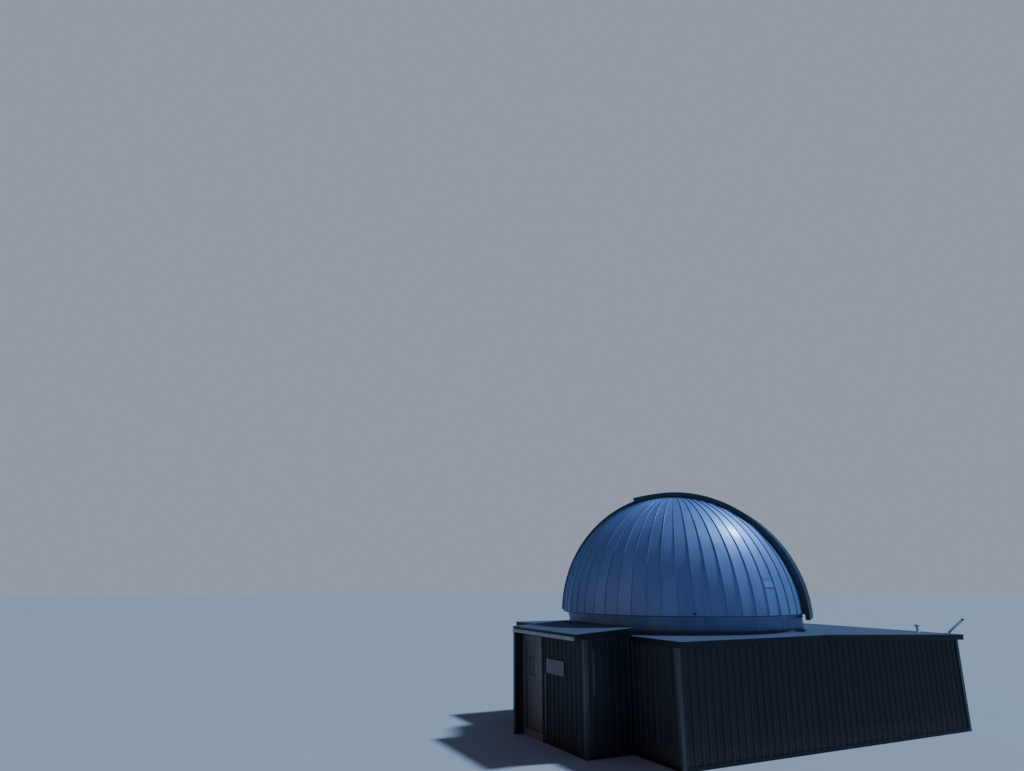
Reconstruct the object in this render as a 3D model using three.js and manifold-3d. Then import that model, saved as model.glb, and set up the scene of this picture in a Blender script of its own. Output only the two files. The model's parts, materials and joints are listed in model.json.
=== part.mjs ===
// A small observatory: a ribbed metal dome with an up-and-over shutter, turning on a low drum that stands
// on the flat roof of a clad rectangular building, with an entrance porch on its left side.
// Millimetres, +Z up. The origin is on the ground, on the axis that the dome turns about.
// +X runs along the front wall to its right end, +Y runs from the front wall to the rear wall.
import * as THREE from 'three';
import { mergeVertices } from 'three/addons/utils/BufferGeometryUtils.js';
import Module from 'manifold-3d';

const wasm = await Module();
wasm.setup();

// The gap that is left between two pieces that bear on each other.
const seat = 0.3;

// A length beyond every piece, for the bodies that only cut.
const reach = 9000;

// Dome: a 6.5 m dome of 54 standing gores, a little less than half a sphere.
const domeRadius = 3250;
const shellThickness = 40;
const goreCount = 54;
const goreStep = 360 / goreCount;
const firstSeam = 1.3;
const centreHeight = 2736;
const domeFootHeight = 2872;
const baseRingThickness = 22;
const baseRingInner = 2925;
const bandStep = 3;

// Slit: the direction that it faces, its clear half width, and the two rails that edge it.
const slitAzimuth = -51.35;
const slitHalfWidth = 568;
const railWidth = 58;
const railInner = 3110;
const railOuter = 3301;
const openingEnd = 105;
const sillEnd = 5;
const headerSpan = 2.5;
const memberDepth = 90;
const stripThickness = 40;

// Shutter: it rides over the rails and is turned back about the dome's centre.
const shutterStart = 0;
const shutterSplit = 15;
const shutterEnd = 108;
const shutterLift = 12;
const shutterThickness = 24;
const cheekGap = 7;
const cheekThickness = 26;
const cheekInner = 3222;
const lipGap = 8;
const upperLipReach = 90;
const lowerLipReach = 40;
const glideLength = 60;

// Drum: the low ring wall on the roof that carries the rollers.
const drumOuter = 3090;
const drumInner = 3030;
const drumTop = 2782;
const drumSides = 72;
const rollerCount = 12;
const rollerRadius = 40;
const rollerWidth = 50;
const bracketLength = 120;
const rollerTrackThickness = 10;

// Main building: the edges of the roof, and how far the walls stand back from them.
const roofTop = 2480;
const roofThickness = 110;
const roofLipThickness = 30;
const roofLeft = -3265;
const roofRight = 6015;
const roofFront = -3947;
const roofRear = 3732;
const roofFallStart = 1107;
const roofFall = 153;
const longOverhang = 146;
const leftOverhang = 30;
const rightOverhang = 70;
const wallThickness = 140;
const fasciaHeight = 130;
const fasciaThickness = 20;
const fasciaSetback = 10;
const floorTop = 160;

// Cladding: upright ribs that stand out from flat pans. These are the main ones, every second one of the sheet.
const ribPitch = 400;
const ribStart = 120;
const ribCrest = 26;
const ribSlope = 14;
const ribDepth = 24;
const claddingEdge = 30;

// Porch on the left wall. Its roof falls towards the door, and its far wall runs on as a wind break.
const porchRoofFront = -4703;
const porchRoofNear = -2178;
const porchRoofFar = 1002;
const porchRoofTop = 2548;
const porchRoofRise = 94;
const porchRoofThickness = 60;
const porchRoofLap = 165;
const porchUpstand = 70;
const porchWallThickness = 90;
const porchCanopy = 260;
const porchNearOverhang = 70;
const porchFarOverhang = 8;
const windBreakSetback = 23;
const frontBoardDrop = 25;
const frontBoardHeight = 85;
const frontBoardThickness = 25;
const frontBoardSetback = 4;
const frontBoardNearStop = 91;

// Door in the porch's front wall, and the open doorway from the porch into the main room.
const openNear = 2;
const openFar = 760;
const openTop = 2207;
const nearJamb = 120;
const frameHead = 133;
const frameProud = 10;
const sillThickness = 14;
const stopDepth = 45;
const stopLap = 12;
const leafThickness = 44;
const leafGap = 6;
const latchGap = 8;
const hingeRadius = 5.7;
const hingeLength = 100;
const hingeHeights = [420, 1210, 2000];
const windowWidth = 380;
const windowHeight = 410;
const windowFoot = 1420;
const windowOffset = 44;
const glassThickness = 10;
const handleInset = 65;
const handleHeight = 1010;
const handleReach = 46;
const leverLength = 115;
const leverRadius = 9;
const roseRadius = 26;
const roseThickness = 8;
const spindleRadius = 5;
const passageNear = -40;
const passageFar = 840;
const passageTop = 2180;

// Small pieces on the walls and the roof.
const signSize = [850, 330];
const signNear = -1195;
const signFoot = 1556;
const signThickness = 8;
const ventPlace = [5400, -3100];
const ventFlangeRadius = 75;
const ventFlangeThickness = 12;
const ventPipeRadius = 28;
const ventCapRadius = 62;
const ventCapFoot = 150;
const ventHeight = 218;
const ventSunk = 4;
const armFoot = [5880, -3605];
const armLength = 600;
const armSection = 50;
const armTilt = 39;
const armAzimuth = -30;
const armPlateSize = 120;
const armPlateThickness = 12;

function material(color, metalness, roughness) {
  return new THREE.MeshStandardMaterial({ color, metalness, roughness });
}
const silver = material(0xb9c2cf, 0.9, 0.35);
const slate = material(0x2c3b4a, 0.5, 0.5);
const brownGrey = material(0x6f6a70, 0.5, 0.5);
const paleMetal = material(0xa9b4c4, 0.6, 0.45);
const cladding = material(0x4a4e57, 0.4, 0.6);
const darkTrim = material(0x23282f, 0.4, 0.6);
const paleTrim = material(0xb7b3b4, 0.3, 0.6);
const concrete = material(0x8b8984, 0, 0.9);
const doorPaint = material(0xcac1bb, 0.1, 0.5);
const glass = material(0x35424c, 0, 0.1);
const steel = material(0x9a9a9c, 0.9, 0.4);

const radians = THREE.MathUtils.degToRad;

// Makes a manifold solid of a closed three.js geometry.
function solid(geometry) {
  const bare = geometry.clone();
  bare.deleteAttribute('normal');
  bare.deleteAttribute('uv');
  const merged = mergeVertices(bare, 1e-3);
  const index = merged.index.array;
  const triangles = [];
  for (let i = 0; i < index.length; i += 3) {
    const [a, b, c] = [index[i], index[i + 1], index[i + 2]];
    if (a !== b && b !== c && c !== a) triangles.push(a, b, c);
  }
  return new wasm.Manifold(new wasm.Mesh({
    numProp: 3,
    vertProperties: new Float32Array(merged.attributes.position.array),
    triVerts: new Uint32Array(triangles),
  }));
}

// Turns a manifold solid back into a three.js geometry.
function geometryOf(body) {
  const mesh = body.getMesh();
  const geometry = new THREE.BufferGeometry();
  geometry.setAttribute('position', new THREE.BufferAttribute(mesh.vertProperties, 3));
  geometry.setIndex(new THREE.BufferAttribute(mesh.triVerts, 1));
  return geometry;
}

// A box between two corners.
function block(x0, x1, y0, y1, z0, z1) {
  const box = new THREE.BoxGeometry(x1 - x0, y1 - y0, z1 - z0);
  box.translate((x0 + x1) / 2, (y0 + y1) / 2, (z0 + z1) / 2);
  return solid(box);
}

// An upright prism: a plan outline raised from one height to another.
function prism(outline, z0, z1) {
  const shape = new THREE.Shape(outline.map(([x, y]) => new THREE.Vector2(x, y)));
  const geometry = new THREE.ExtrudeGeometry(shape, { depth: z1 - z0, bevelEnabled: false });
  geometry.translate(0, 0, z0);
  return solid(geometry);
}

// A side outline in X and Z, carried from y0 to y1.
function sideProfile(outline, y0, y1) {
  const shape = new THREE.Shape(outline.map(([x, z]) => new THREE.Vector2(x, z)));
  const geometry = new THREE.ExtrudeGeometry(shape, { depth: y1 - y0, bevelEnabled: false });
  geometry.rotateX(Math.PI / 2);
  geometry.translate(0, y1, 0);
  return solid(geometry);
}

// A polygonal round disc about the Z axis with a corner on +X.
function disc(radius, z0, z1, sides) {
  const outline = [];
  for (let i = 0; i < sides; i += 1) {
    const angle = 2 * Math.PI * i / sides;
    outline.push([radius * Math.cos(angle), radius * Math.sin(angle)]);
  }
  return prism(outline, z0, z1);
}

// A wedge in plan that keeps only what lies between two azimuths, in degrees.
function wedge(from, to, z0, z1) {
  const middle = (from + to) / 2;
  const outline = [[0, 0]];
  for (const angle of [from, middle, to]) {
    outline.push([reach * Math.cos(radians(angle)), reach * Math.sin(radians(angle))]);
  }
  return prism(outline, z0, z1);
}

// A round bar between two points, of few sides.
function bar(from, to, radius, sides) {
  const start = new THREE.Vector3(...from);
  const end = new THREE.Vector3(...to);
  const geometry = new THREE.CylinderGeometry(radius, radius, start.distanceTo(end), sides);
  const turn = new THREE.Quaternion().setFromUnitVectors(
    new THREE.Vector3(0, 1, 0),
    end.clone().sub(start).normalize(),
  );
  geometry.applyQuaternion(turn);
  geometry.translate((from[0] + to[0]) / 2, (from[1] + to[1]) / 2, (from[2] + to[2]) / 2);
  return solid(geometry);
}

// A curved band standing in the X-Z plane about the dome's centre, between two angles from +X, y0 to y1 wide.
// Its corners lie on whole steps, so that bands that slide over one another keep their distance.
function archBand(inner, outer, from, to, y0, y1) {
  const angles = [from];
  for (let angle = Math.ceil((from + 0.01) / bandStep) * bandStep; angle < to - 0.01; angle += bandStep) {
    angles.push(angle);
  }
  angles.push(to);
  const cornered = (radius, angle) => {
    const low = Math.floor(angle / bandStep + 1e-9) * bandStep;
    const half = radians(bandStep / 2);
    const chord = radius * Math.cos(half) / Math.cos(radians(angle - low) - half);
    return [chord * Math.cos(radians(angle)), chord * Math.sin(radians(angle))];
  };
  const outline = angles.map((angle) => cornered(outer, angle));
  for (const angle of angles.slice().reverse()) outline.push(cornered(inner, angle));
  return sideProfile(outline, y0, y1);
}

// The dome as a full turned body of flat gores, from its foot to its crown.
function turnedDome(radius, foot) {
  const profile = [new THREE.Vector2(0, foot)];
  const start = Math.asin(foot / radius);
  const steps = 24;
  for (let i = 0; i <= steps; i += 1) {
    const angle = start + (Math.PI / 2 - start) * i / steps;
    profile.push(new THREE.Vector2(i === steps ? 0 : radius * Math.cos(angle), radius * Math.sin(angle)));
  }
  const geometry = new THREE.LatheGeometry(profile, goreCount);
  geometry.rotateX(Math.PI / 2);
  geometry.rotateZ(radians(firstSeam + goreStep / 2));
  return solid(geometry);
}

const observatory = new THREE.Group();
const domeGroup = new THREE.Group();
domeGroup.position.z = centreHeight;
domeGroup.rotation.z = radians(slitAzimuth);
observatory.add(domeGroup);

function piece(name, body, look, parent = observatory) {
  const mesh = new THREE.Mesh(geometryOf(body), look);
  mesh.name = name;
  parent.add(mesh);
}

// Heights of the two roofs along X. The main roof is level, then falls to the right.
const fallSlope = roofFall / (roofRight - roofFallStart);
const porchSlope = porchRoofRise / (roofLeft - porchRoofFront);
const roofHeight = (x) => roofTop - Math.max(0, x - roofFallStart) * fallSlope;
const porchHeight = (x) => porchRoofTop + (x - porchRoofFront) * porchSlope;
const slopeCorners = (x0, x1) => [x0, roofFallStart, x1].filter((x) => x >= x0 && x <= x1);

// A wall from a level foot up to a roof's line, less a depth.
function wallUnder(roofLine, x0, x1, y0, y1, foot, depth) {
  const top = slopeCorners(x0, x1).map((x) => [x, roofLine(x) - depth]);
  return sideProfile([[x0, foot], [x1, foot], ...top.reverse()], y0, y1);
}

// A strip that follows a roof's line, between two depths below it.
function stripUnder(roofLine, x0, x1, y0, y1, upper, lower) {
  const corners = slopeCorners(x0, x1);
  const foot = corners.map((x) => [x, roofLine(x) - lower]);
  const top = corners.map((x) => [x, roofLine(x) - upper]).reverse();
  return sideProfile([...foot, ...top], y0, y1);
}

// Gives a wall its ribs. Its outer face runs from start to end, and inward points into the building.
function ribbed(wall, start, end, inward, thickness) {
  const along = new THREE.Vector2(...end).sub(new THREE.Vector2(...start));
  const length = along.length();
  along.normalize();
  const stations = [[-1, 0], [claddingEdge, 0], [claddingEdge + ribSlope, ribDepth]];
  const lastPan = length - claddingEdge - ribSlope;
  for (let at = ribStart; at + ribCrest + ribSlope < lastPan; at += ribPitch) {
    const end = at + ribCrest;
    stations.push([at - ribSlope, ribDepth], [at, 0], [end, 0], [end + ribSlope, ribDepth]);
  }
  stations.push([lastPan, ribDepth], [length - claddingEdge, 0], [length + 1, 0]);
  stations.push([length + 1, thickness + 1], [-1, thickness + 1]);
  const plan = stations.map(([distance, depth]) => [
    start[0] + along.x * distance + inward[0] * depth,
    start[1] + along.y * distance + inward[1] * depth,
  ]);
  return wall.intersect(prism(plan, -1, reach));
}

// Main building.
const wallLeft = roofLeft + leftOverhang;
const wallRight = roofRight - rightOverhang;
const wallFront = roofFront + longOverhang;
const wallRear = roofRear - longOverhang;
const innerLeft = wallLeft + wallThickness;
const innerRight = wallRight - wallThickness;
const innerFront = wallFront + wallThickness;
const innerRear = wallRear - wallThickness;
const sideFront = innerFront + seat;
const sideRear = innerRear - seat;
const deckFoot = roofThickness + seat;

const roomSlab = block(innerLeft + seat, innerRight - seat, sideFront, sideRear, 0, floorTop);
const passageSlab = block(wallLeft, innerLeft + 1, passageNear + seat, passageFar - seat, 0, floorTop);
piece('main_floor', roomSlab.add(passageSlab), concrete);

const mainWall = (x0, x1, y0, y1, foot = 0) => wallUnder(roofHeight, x0, x1, y0, y1, foot, deckFoot);
const leftWall = (y0, y1, foot) => mainWall(wallLeft, innerLeft, y0, y1, foot);
const frontSlab = mainWall(wallLeft, wallRight, wallFront, innerFront);
const rearSlab = mainWall(wallLeft, wallRight, innerRear, wallRear);
const rightSlab = mainWall(innerRight, wallRight, sideFront, sideRear);
piece('front_wall', ribbed(frontSlab,
  [wallLeft, wallFront], [wallRight, wallFront], [0, 1], wallThickness), cladding);
piece('rear_wall', ribbed(rearSlab,
  [wallRight, wallRear], [wallLeft, wallRear], [0, -1], wallThickness), cladding);
piece('right_wall', ribbed(rightSlab,
  [wallRight, sideFront], [wallRight, sideRear], [-1, 0], wallThickness), cladding);
piece('left_wall_front', ribbed(leftWall(sideFront, passageNear),
  [wallLeft, passageNear], [wallLeft, sideFront], [1, 0], wallThickness), cladding);
piece('left_wall_rear', ribbed(leftWall(passageFar, sideRear),
  [wallLeft, sideRear], [wallLeft, passageFar], [1, 0], wallThickness), cladding);
piece('left_wall_lintel', leftWall(passageNear + seat, passageFar - seat, passageTop), cladding);

// The roof deck has a thin lip that reaches out over the fascias, and a round hole inside the drum.
const deckInset = fasciaSetback + fasciaThickness + seat;
const deckFront = roofFront + deckInset;
const deckRear = roofRear - deckInset;
const roofLip = stripUnder(roofHeight, roofLeft, roofRight, roofFront, roofRear, 0, roofLipThickness);
const deckBody = stripUnder(roofHeight, roofLeft + deckInset, roofRight - deckInset, deckFront, deckRear,
  roofLipThickness - 1, roofThickness);
const roofDeck = roofLip.add(deckBody).subtract(disc(drumInner, 0, reach, drumSides));
piece('roof_front', roofDeck.intersect(block(-reach, reach, -reach, -seat / 2, 0, reach)), paleMetal);
piece('roof_rear', roofDeck.intersect(block(-reach, reach, seat / 2, reach, 0, reach)), paleMetal);

const boardTop = roofLipThickness + seat;
const boardLeft = roofLeft + fasciaSetback;
const boardRight = roofRight - fasciaSetback;
const board = (x0, x1, y0, y1) => stripUnder(roofHeight, x0, x1, y0, y1, boardTop, fasciaHeight);
const longBoard = (y0) => board(boardLeft, boardRight, y0, y0 + fasciaThickness);
const porchNear = porchRoofNear + porchNearOverhang;
const porchFar = porchRoofFar - porchFarOverhang;
const leftBoard = (y0, y1) => board(boardLeft, boardLeft + fasciaThickness, y0, y1);
piece('front_fascia', longBoard(roofFront + fasciaSetback), darkTrim);
piece('rear_fascia', longBoard(roofRear - fasciaSetback - fasciaThickness), darkTrim);
piece('left_fascia_front', leftBoard(deckFront, porchNear - seat), darkTrim);
piece('left_fascia_rear', leftBoard(porchFar + seat, deckRear), darkTrim);
piece('right_fascia', board(boardRight - fasciaThickness, boardRight, deckFront, deckRear), darkTrim);

// Porch.
const doorWallOuter = porchRoofFront + porchCanopy;
const doorWallInner = doorWallOuter + porchWallThickness;
const porchInnerNear = porchNear + porchWallThickness;
const porchInnerFar = porchFar - porchWallThickness;
const porchBack = wallLeft - seat;
const frameNear = openNear - nearJamb;
const frameFar = porchInnerFar - seat;
const frameTop = openTop + frameHead;
const frameFoot = floorTop + seat;
const porchDeckFoot = porchRoofThickness + seat;

const porchSlab = block(doorWallInner + seat, porchBack,
  porchInnerNear + seat, porchInnerFar - seat, 0, floorTop);
const doorStepSlab = block(doorWallOuter, doorWallInner + 1, frameNear, frameFar, 0, floorTop);
piece('porch_floor', porchSlab.add(doorStepSlab), concrete);

// The porch roof: a thin lip all round, a body inside it, and an upstand that closes it onto the main roof.
// Both run on past the upstand, over the main roof.
const frontBoardFace = porchRoofFront + frontBoardSetback;
const frontBoardBack = frontBoardFace + frontBoardThickness;
const fasciaBack = frontBoardBack + seat + fasciaThickness;
const porchLapEnd = roofLeft + porchRoofLap;
function porchStrip(x0, x1, y0, upper, lower) {
  return stripUnder(porchHeight, x0, x1, y0, porchRoofFar, upper, lower);
}
const porchLip = porchStrip(porchRoofFront, porchLapEnd, porchRoofNear, 0, roofLipThickness);
const porchDeck = porchStrip(fasciaBack + seat, porchLapEnd, porchRoofNear + deckInset,
  roofLipThickness - 1, porchRoofThickness);
const upstandEnd = roofLeft + porchUpstand;
const upstand = wallUnder(porchHeight, roofLeft, upstandEnd, porchRoofNear, porchRoofFar, roofTop + seat, 1);
piece('porch_roof', porchLip.add(porchDeck).add(upstand), paleMetal);

// Under the main roof's edge the porch's side walls stop below its lip.
const lapNotch = block(roofLeft - seat, reach, -reach, reach, roofTop - roofLipThickness - seat, reach);
const porchWall = (x0, x1, y0, y1, foot = 0) => wallUnder(porchHeight, x0, x1, y0, y1, foot, porchDeckFoot);
const frontBoardTop = porchRoofTop - roofLipThickness - frontBoardDrop;
const frontBoardFoot = frontBoardTop - frontBoardHeight;
const boardNotch = block(-reach, fasciaBack + seat, -reach, reach, frontBoardFoot - seat, reach);
const nearWallStart = doorWallInner + seat;
const windBreakEnd = porchRoofFront + windBreakSetback;
const doorWallEnd = frameNear - seat;
const nearSlab = porchWall(nearWallStart, porchBack, porchNear, porchInnerNear).subtract(lapNotch);
const farSlab = porchWall(windBreakEnd, porchBack, porchInnerFar, porchFar)
  .subtract(lapNotch)
  .subtract(boardNotch);
const doorSlab = porchWall(doorWallOuter, doorWallInner, porchNear, doorWallEnd);
piece('porch_near_wall', ribbed(nearSlab,
  [nearWallStart, porchNear], [porchBack, porchNear], [0, 1], porchWallThickness), cladding);
piece('porch_far_wall', ribbed(farSlab,
  [porchBack, porchFar], [windBreakEnd, porchFar], [0, -1], porchWallThickness), cladding);
piece('door_wall', ribbed(doorSlab,
  [doorWallOuter, doorWallEnd], [doorWallOuter, porchNear], [1, 0], porchWallThickness), cladding);
piece('door_lintel', porchWall(doorWallOuter, doorWallInner, frameNear, frameFar, frameTop + seat), cladding);

// A dark fascia runs round the front and the near side, and a pale board stands before it over the door.
const fasciaNear = porchRoofNear + fasciaSetback;
const fasciaFar = porchRoofFar - fasciaSetback;
const fasciaFront = frontBoardBack + seat;
const frontFascia = wallUnder(porchHeight, fasciaFront, fasciaBack,
  fasciaNear, fasciaFar, frontBoardFoot, boardTop);
const nearFascia = stripUnder(porchHeight, fasciaFront, roofLeft - seat,
  fasciaNear, fasciaNear + fasciaThickness, boardTop, fasciaHeight);
piece('porch_fascias', frontFascia.add(nearFascia), darkTrim);
piece('porch_front_board', block(frontBoardFace, frontBoardBack,
  porchRoofNear + frontBoardNearStop, porchRoofFar, frontBoardFoot, frontBoardTop), paleTrim);

// Door frame: a narrow stop on the outside, and a wider rebate behind it that the leaf closes into.
const openFoot = frameFoot + sillThickness;
const frameOuterFace = doorWallOuter - frameProud;
const stopFace = frameOuterFace + stopDepth;
const rebateNear = openNear - stopLap;
const rebateFar = openFar + stopLap;
const rebateTop = openTop + stopLap;
const leafOuterFace = stopFace + leafGap;
const leafInnerFace = leafOuterFace + leafThickness;
const leafNear = rebateNear + latchGap;
const leafFar = rebateFar - leafGap;
const leafFoot = openFoot + leafGap;
const leafTop = rebateTop - leafGap;
const hingeX = leafInnerFace + hingeRadius - 1;
const hingeY = rebateFar - seat - hingeRadius;

piece('door_frame', block(frameOuterFace, doorWallInner, frameNear, frameFar, frameFoot, frameTop)
  .subtract(block(-reach, stopFace, openNear, openFar, openFoot, openTop))
  .subtract(block(stopFace - 1, 0, rebateNear, rebateFar, openFoot, rebateTop)), doorPaint);
piece('sign_plate', block(doorWallOuter - seat - signThickness, doorWallOuter - seat,
  signNear, signNear + signSize[0], signFoot, signFoot + signSize[1]), paleTrim);

const windowMiddle = (leafNear + leafFar) / 2 + windowOffset;
const windowNear = windowMiddle - windowWidth / 2;
const windowFar = windowMiddle + windowWidth / 2;
const windowTop = windowFoot + windowHeight;
const handleY = leafNear + handleInset;
const handleZ = floorTop + handleHeight;
function handleBar(x0, x1, radius, sides) {
  return bar([x0, handleY, handleZ], [x1, handleY, handleZ], radius, sides);
}
let leaf = block(leafOuterFace, leafInnerFace, leafNear, leafFar, leafFoot, leafTop)
  .subtract(block(-reach, 0, windowNear, windowFar, windowFoot, windowTop))
  .subtract(handleBar(leafOuterFace - 1, leafInnerFace + 1, spindleRadius + 2, 12));
for (const height of hingeHeights) {
  leaf = leaf.add(bar([hingeX, hingeY, height], [hingeX, hingeY, height + hingeLength], hingeRadius, 12));
}
piece('door_leaf', leaf, doorPaint);
const glassX = (leafOuterFace + leafInnerFace - glassThickness) / 2;
piece('door_glass', block(glassX, glassX + glassThickness, windowNear + seat, windowFar - seat,
  windowFoot + seat, windowTop - seat), glass);

function lever(face, side) {
  const near = face + side * seat;
  const far = face + side * handleReach;
  const gripX = far - side * leverRadius;
  const gripEnd = handleY + leverLength;
  const grip = bar([gripX, handleY - leverRadius, handleZ], [gripX, gripEnd, handleZ], leverRadius, 12);
  const rose = handleBar(near, near + side * roseThickness, roseRadius, 16);
  return rose.add(handleBar(near, far, leverRadius, 12)).add(grip);
}
const spindle = handleBar(leafOuterFace - spindleRadius, leafInnerFace + spindleRadius, spindleRadius, 12);
piece('door_handles', lever(leafOuterFace, -1).add(spindle).add(lever(leafInnerFace, 1)), steel);

// Drum: a ring wall in four parts, cut to the roof's fall, with the rollers on top of it.
const aboveRoof = sideProfile([
  [-reach, roofTop + seat],
  [roofFallStart, roofTop + seat],
  [reach, roofHeight(reach) + seat],
  [reach, reach],
  [-reach, reach],
], -reach, reach);
const drumRing = disc(drumOuter, roofTop - roofFall, drumTop, drumSides)
  .subtract(disc(drumInner, 0, reach, drumSides))
  .intersect(aboveRoof);
const jointAngle = 0.003;
['drum_front', 'drum_right', 'drum_rear', 'drum_left'].forEach((name, i) => {
  const from = -135 + 90 * i;
  piece(name, drumRing.intersect(wedge(from + jointAngle, from + 90 - jointAngle, 0, reach)), paleMetal);
});

// Each roller turns in a bracket that stands on a ring on the drum's top, just under the dome's foot.
const rollerCentre = domeFootHeight - seat - rollerRadius;
const trackTop = drumTop + seat + rollerTrackThickness;
const wheelStart = drumInner + 5;
const wheelEnd = wheelStart + rollerWidth;
const bracketMiddle = (drumInner + drumOuter) / 2;
const trackHole = disc(drumInner, 0, reach, drumSides);
let rollers = disc(drumOuter, drumTop + seat, trackTop, drumSides).subtract(trackHole);
for (let i = 0; i < rollerCount; i += 1) {
  const angle = radians(360 * (i + 0.5) / rollerCount);
  const spot = (radius) => [radius * Math.cos(angle), radius * Math.sin(angle), rollerCentre];
  const bracket = new THREE.BoxGeometry(rollerWidth - 10, bracketLength, rollerCentre - trackTop + 1);
  bracket.rotateZ(angle);
  const [x, y] = spot(bracketMiddle);
  bracket.translate(x, y, (rollerCentre + trackTop - 1) / 2);
  rollers = rollers.add(bar(spot(wheelStart), spot(wheelEnd), rollerRadius - 0.05, 32)).add(solid(bracket));
}
piece('roller_track', rollers, steel);

// Vent cowl: a pipe with a cap, standing on the low end of the roof.
const ventProfile = [
  [0, 0],
  [ventFlangeRadius, 0],
  [ventFlangeRadius, ventFlangeThickness],
  [ventPipeRadius, ventFlangeThickness],
  [ventPipeRadius, ventCapFoot],
  [ventCapRadius, ventCapFoot],
  [ventCapRadius, ventHeight - 20],
  [ventCapRadius - 20, ventHeight],
  [0, ventHeight],
].map(([r, z]) => new THREE.Vector2(r, z));
const ventTurned = new THREE.LatheGeometry(ventProfile, 24);
ventTurned.rotateX(Math.PI / 2);
ventTurned.translate(ventPlace[0], ventPlace[1], roofHeight(ventPlace[0]) - ventSunk);
piece('vent_cowl', solid(ventTurned).intersect(aboveRoof), paleTrim);

// A square bar that leans out over the roof's right end from a small foot plate.
const armStart = new THREE.Vector3(armFoot[0], armFoot[1], roofHeight(armFoot[0] - armPlateSize / 2));
const armBar = new THREE.BoxGeometry(armLength, armSection, armSection);
armBar.translate(armLength / 2, 0, armSection / 2);
armBar.rotateY(-radians(armTilt));
armBar.rotateZ(radians(armAzimuth));
armBar.translate(armStart.x, armStart.y, armStart.z);
const armPlate = new THREE.BoxGeometry(armPlateSize, armPlateSize, 2 * armPlateThickness);
armPlate.translate(armStart.x, armStart.y, armStart.z);
piece('roof_arm', solid(armBar).add(solid(armPlate)).intersect(aboveRoof), paleTrim);

// Dome. Everything below is drawn about the dome's centre, with the slit facing +X.
const foot = domeFootHeight - centreHeight;
const shellFoot = foot + baseRingThickness + seat;
const ringOuter = Math.sqrt(domeRadius ** 2 - foot ** 2);
const baseRing = disc(ringOuter, foot, foot + baseRingThickness, goreCount)
  .subtract(disc(baseRingInner, 0, reach, goreCount));
piece('dome_base_ring', baseRing, slate, domeGroup);

// The shell is parted at the slit and at a seam halfway round each side.
const railOutside = slitHalfWidth + railWidth;
const slot = block(-reach, reach, -railOutside - seat, railOutside + seat, -reach, reach);
const shell = turnedDome(domeRadius, shellFoot)
  .subtract(turnedDome(domeRadius - shellThickness, shellFoot - 1))
  .subtract(slot);
const leftSeam = firstSeam + 13 * goreStep;
const rightSeam = leftSeam + 180;
const panelEdges = [
  ['dome_panel_left_front', 0, leftSeam],
  ['dome_panel_left_rear', leftSeam, 180],
  ['dome_panel_right_rear', 180, rightSeam],
  ['dome_panel_right_front', rightSeam, 360],
];
for (const [name, from, to] of panelEdges) {
  piece(name, shell.intersect(wedge(from + jointAngle, to - jointAngle, 0, reach)), silver, domeGroup);
}

const aboveRing = block(-reach, reach, -reach, reach, shellFoot, reach);
const railBand = (y0) => archBand(railInner, railOuter, 0, 180, y0, y0 + railWidth).intersect(aboveRing);
piece('slit_rail_left', railBand(slitHalfWidth), slate, domeGroup);
piece('slit_rail_right', railBand(-railOutside), slate, domeGroup);

const crossHalf = slitHalfWidth - seat;
const crossBand = (inner, outer, from, to) => archBand(inner, outer, from, to, -crossHalf, crossHalf);
const stripInner = railInner + memberDepth - stripThickness;
const memberOuter = railInner + memberDepth;
const headerEnd = openingEnd - 0.01;
const rearStrip = crossBand(stripInner, memberOuter, openingEnd, 180).intersect(aboveRing);
piece('slit_rear_strip', rearStrip, silver, domeGroup);
piece('slit_sill', crossBand(railInner, memberOuter, 0, sillEnd).intersect(aboveRing), slate, domeGroup);
piece('slit_header', crossBand(railInner, memberOuter, openingEnd - headerSpan, headerEnd), slate, domeGroup);

// Shutter. Its glides bear on the rails, and a lip at each end reaches down between them.
const skinInner = railOuter + shutterLift;
const skinOuter = skinInner + shutterThickness;
const cheekInside = railOutside + cheekGap;
const cheekOutside = cheekInside + cheekThickness;
const lipHalf = slitHalfWidth - lipGap;
const glideHeight = shutterLift - seat + 1;
function glidesAt(angles) {
  let pads = null;
  for (const angle of angles) {
    for (const side of [-1, 1]) {
      const pad = new THREE.BoxGeometry(glideHeight, railWidth - 10, glideLength);
      pad.translate(railOuter + seat + glideHeight / 2, side * (slitHalfWidth + railWidth / 2), 0);
      pad.rotateY(-radians(angle));
      pads = pads ? pads.add(solid(pad)) : solid(pad);
    }
  }
  return pads;
}
const skinBand = (from, to) => archBand(skinInner, skinOuter, from, to, -cheekOutside, cheekOutside);
const lip = (depth, from, to) => archBand(railOuter - depth, skinInner + 1, from, to, -lipHalf, lipHalf);
piece('shutter_skin', skinBand(shutterSplit, shutterEnd)
  .add(lip(upperLipReach, shutterEnd - 1, shutterEnd))
  .add(glidesAt([36, 72, 105])), slate, domeGroup);
piece('shutter_lower_panel', skinBand(shutterStart, shutterSplit - 0.006)
  .add(lip(lowerLipReach, shutterStart, shutterStart + 1))
  .add(glidesAt([6, 12])), brownGrey, domeGroup);
function cheek(y0) {
  return archBand(cheekInner, skinInner - seat, shutterStart, shutterEnd, y0, y0 + cheekThickness);
}
piece('shutter_cheek_left', cheek(cheekInside), slate, domeGroup);
piece('shutter_cheek_right', cheek(-cheekOutside), slate, domeGroup);

export default observatory;
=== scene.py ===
# %% [markdown]
# # A small observatory with a turning dome
# The real building is a dome of narrow metal sheets on a low drum, on the flat roof of a clad box with a
# porch. Its main solids are already made to size, so they are loaded first and stay where they are. This
# script dresses them: thin sheets, seams, ribs, trims and fixings, and a finish for every surface.

# %% Load the solids
import math
from collections import namedtuple

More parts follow.
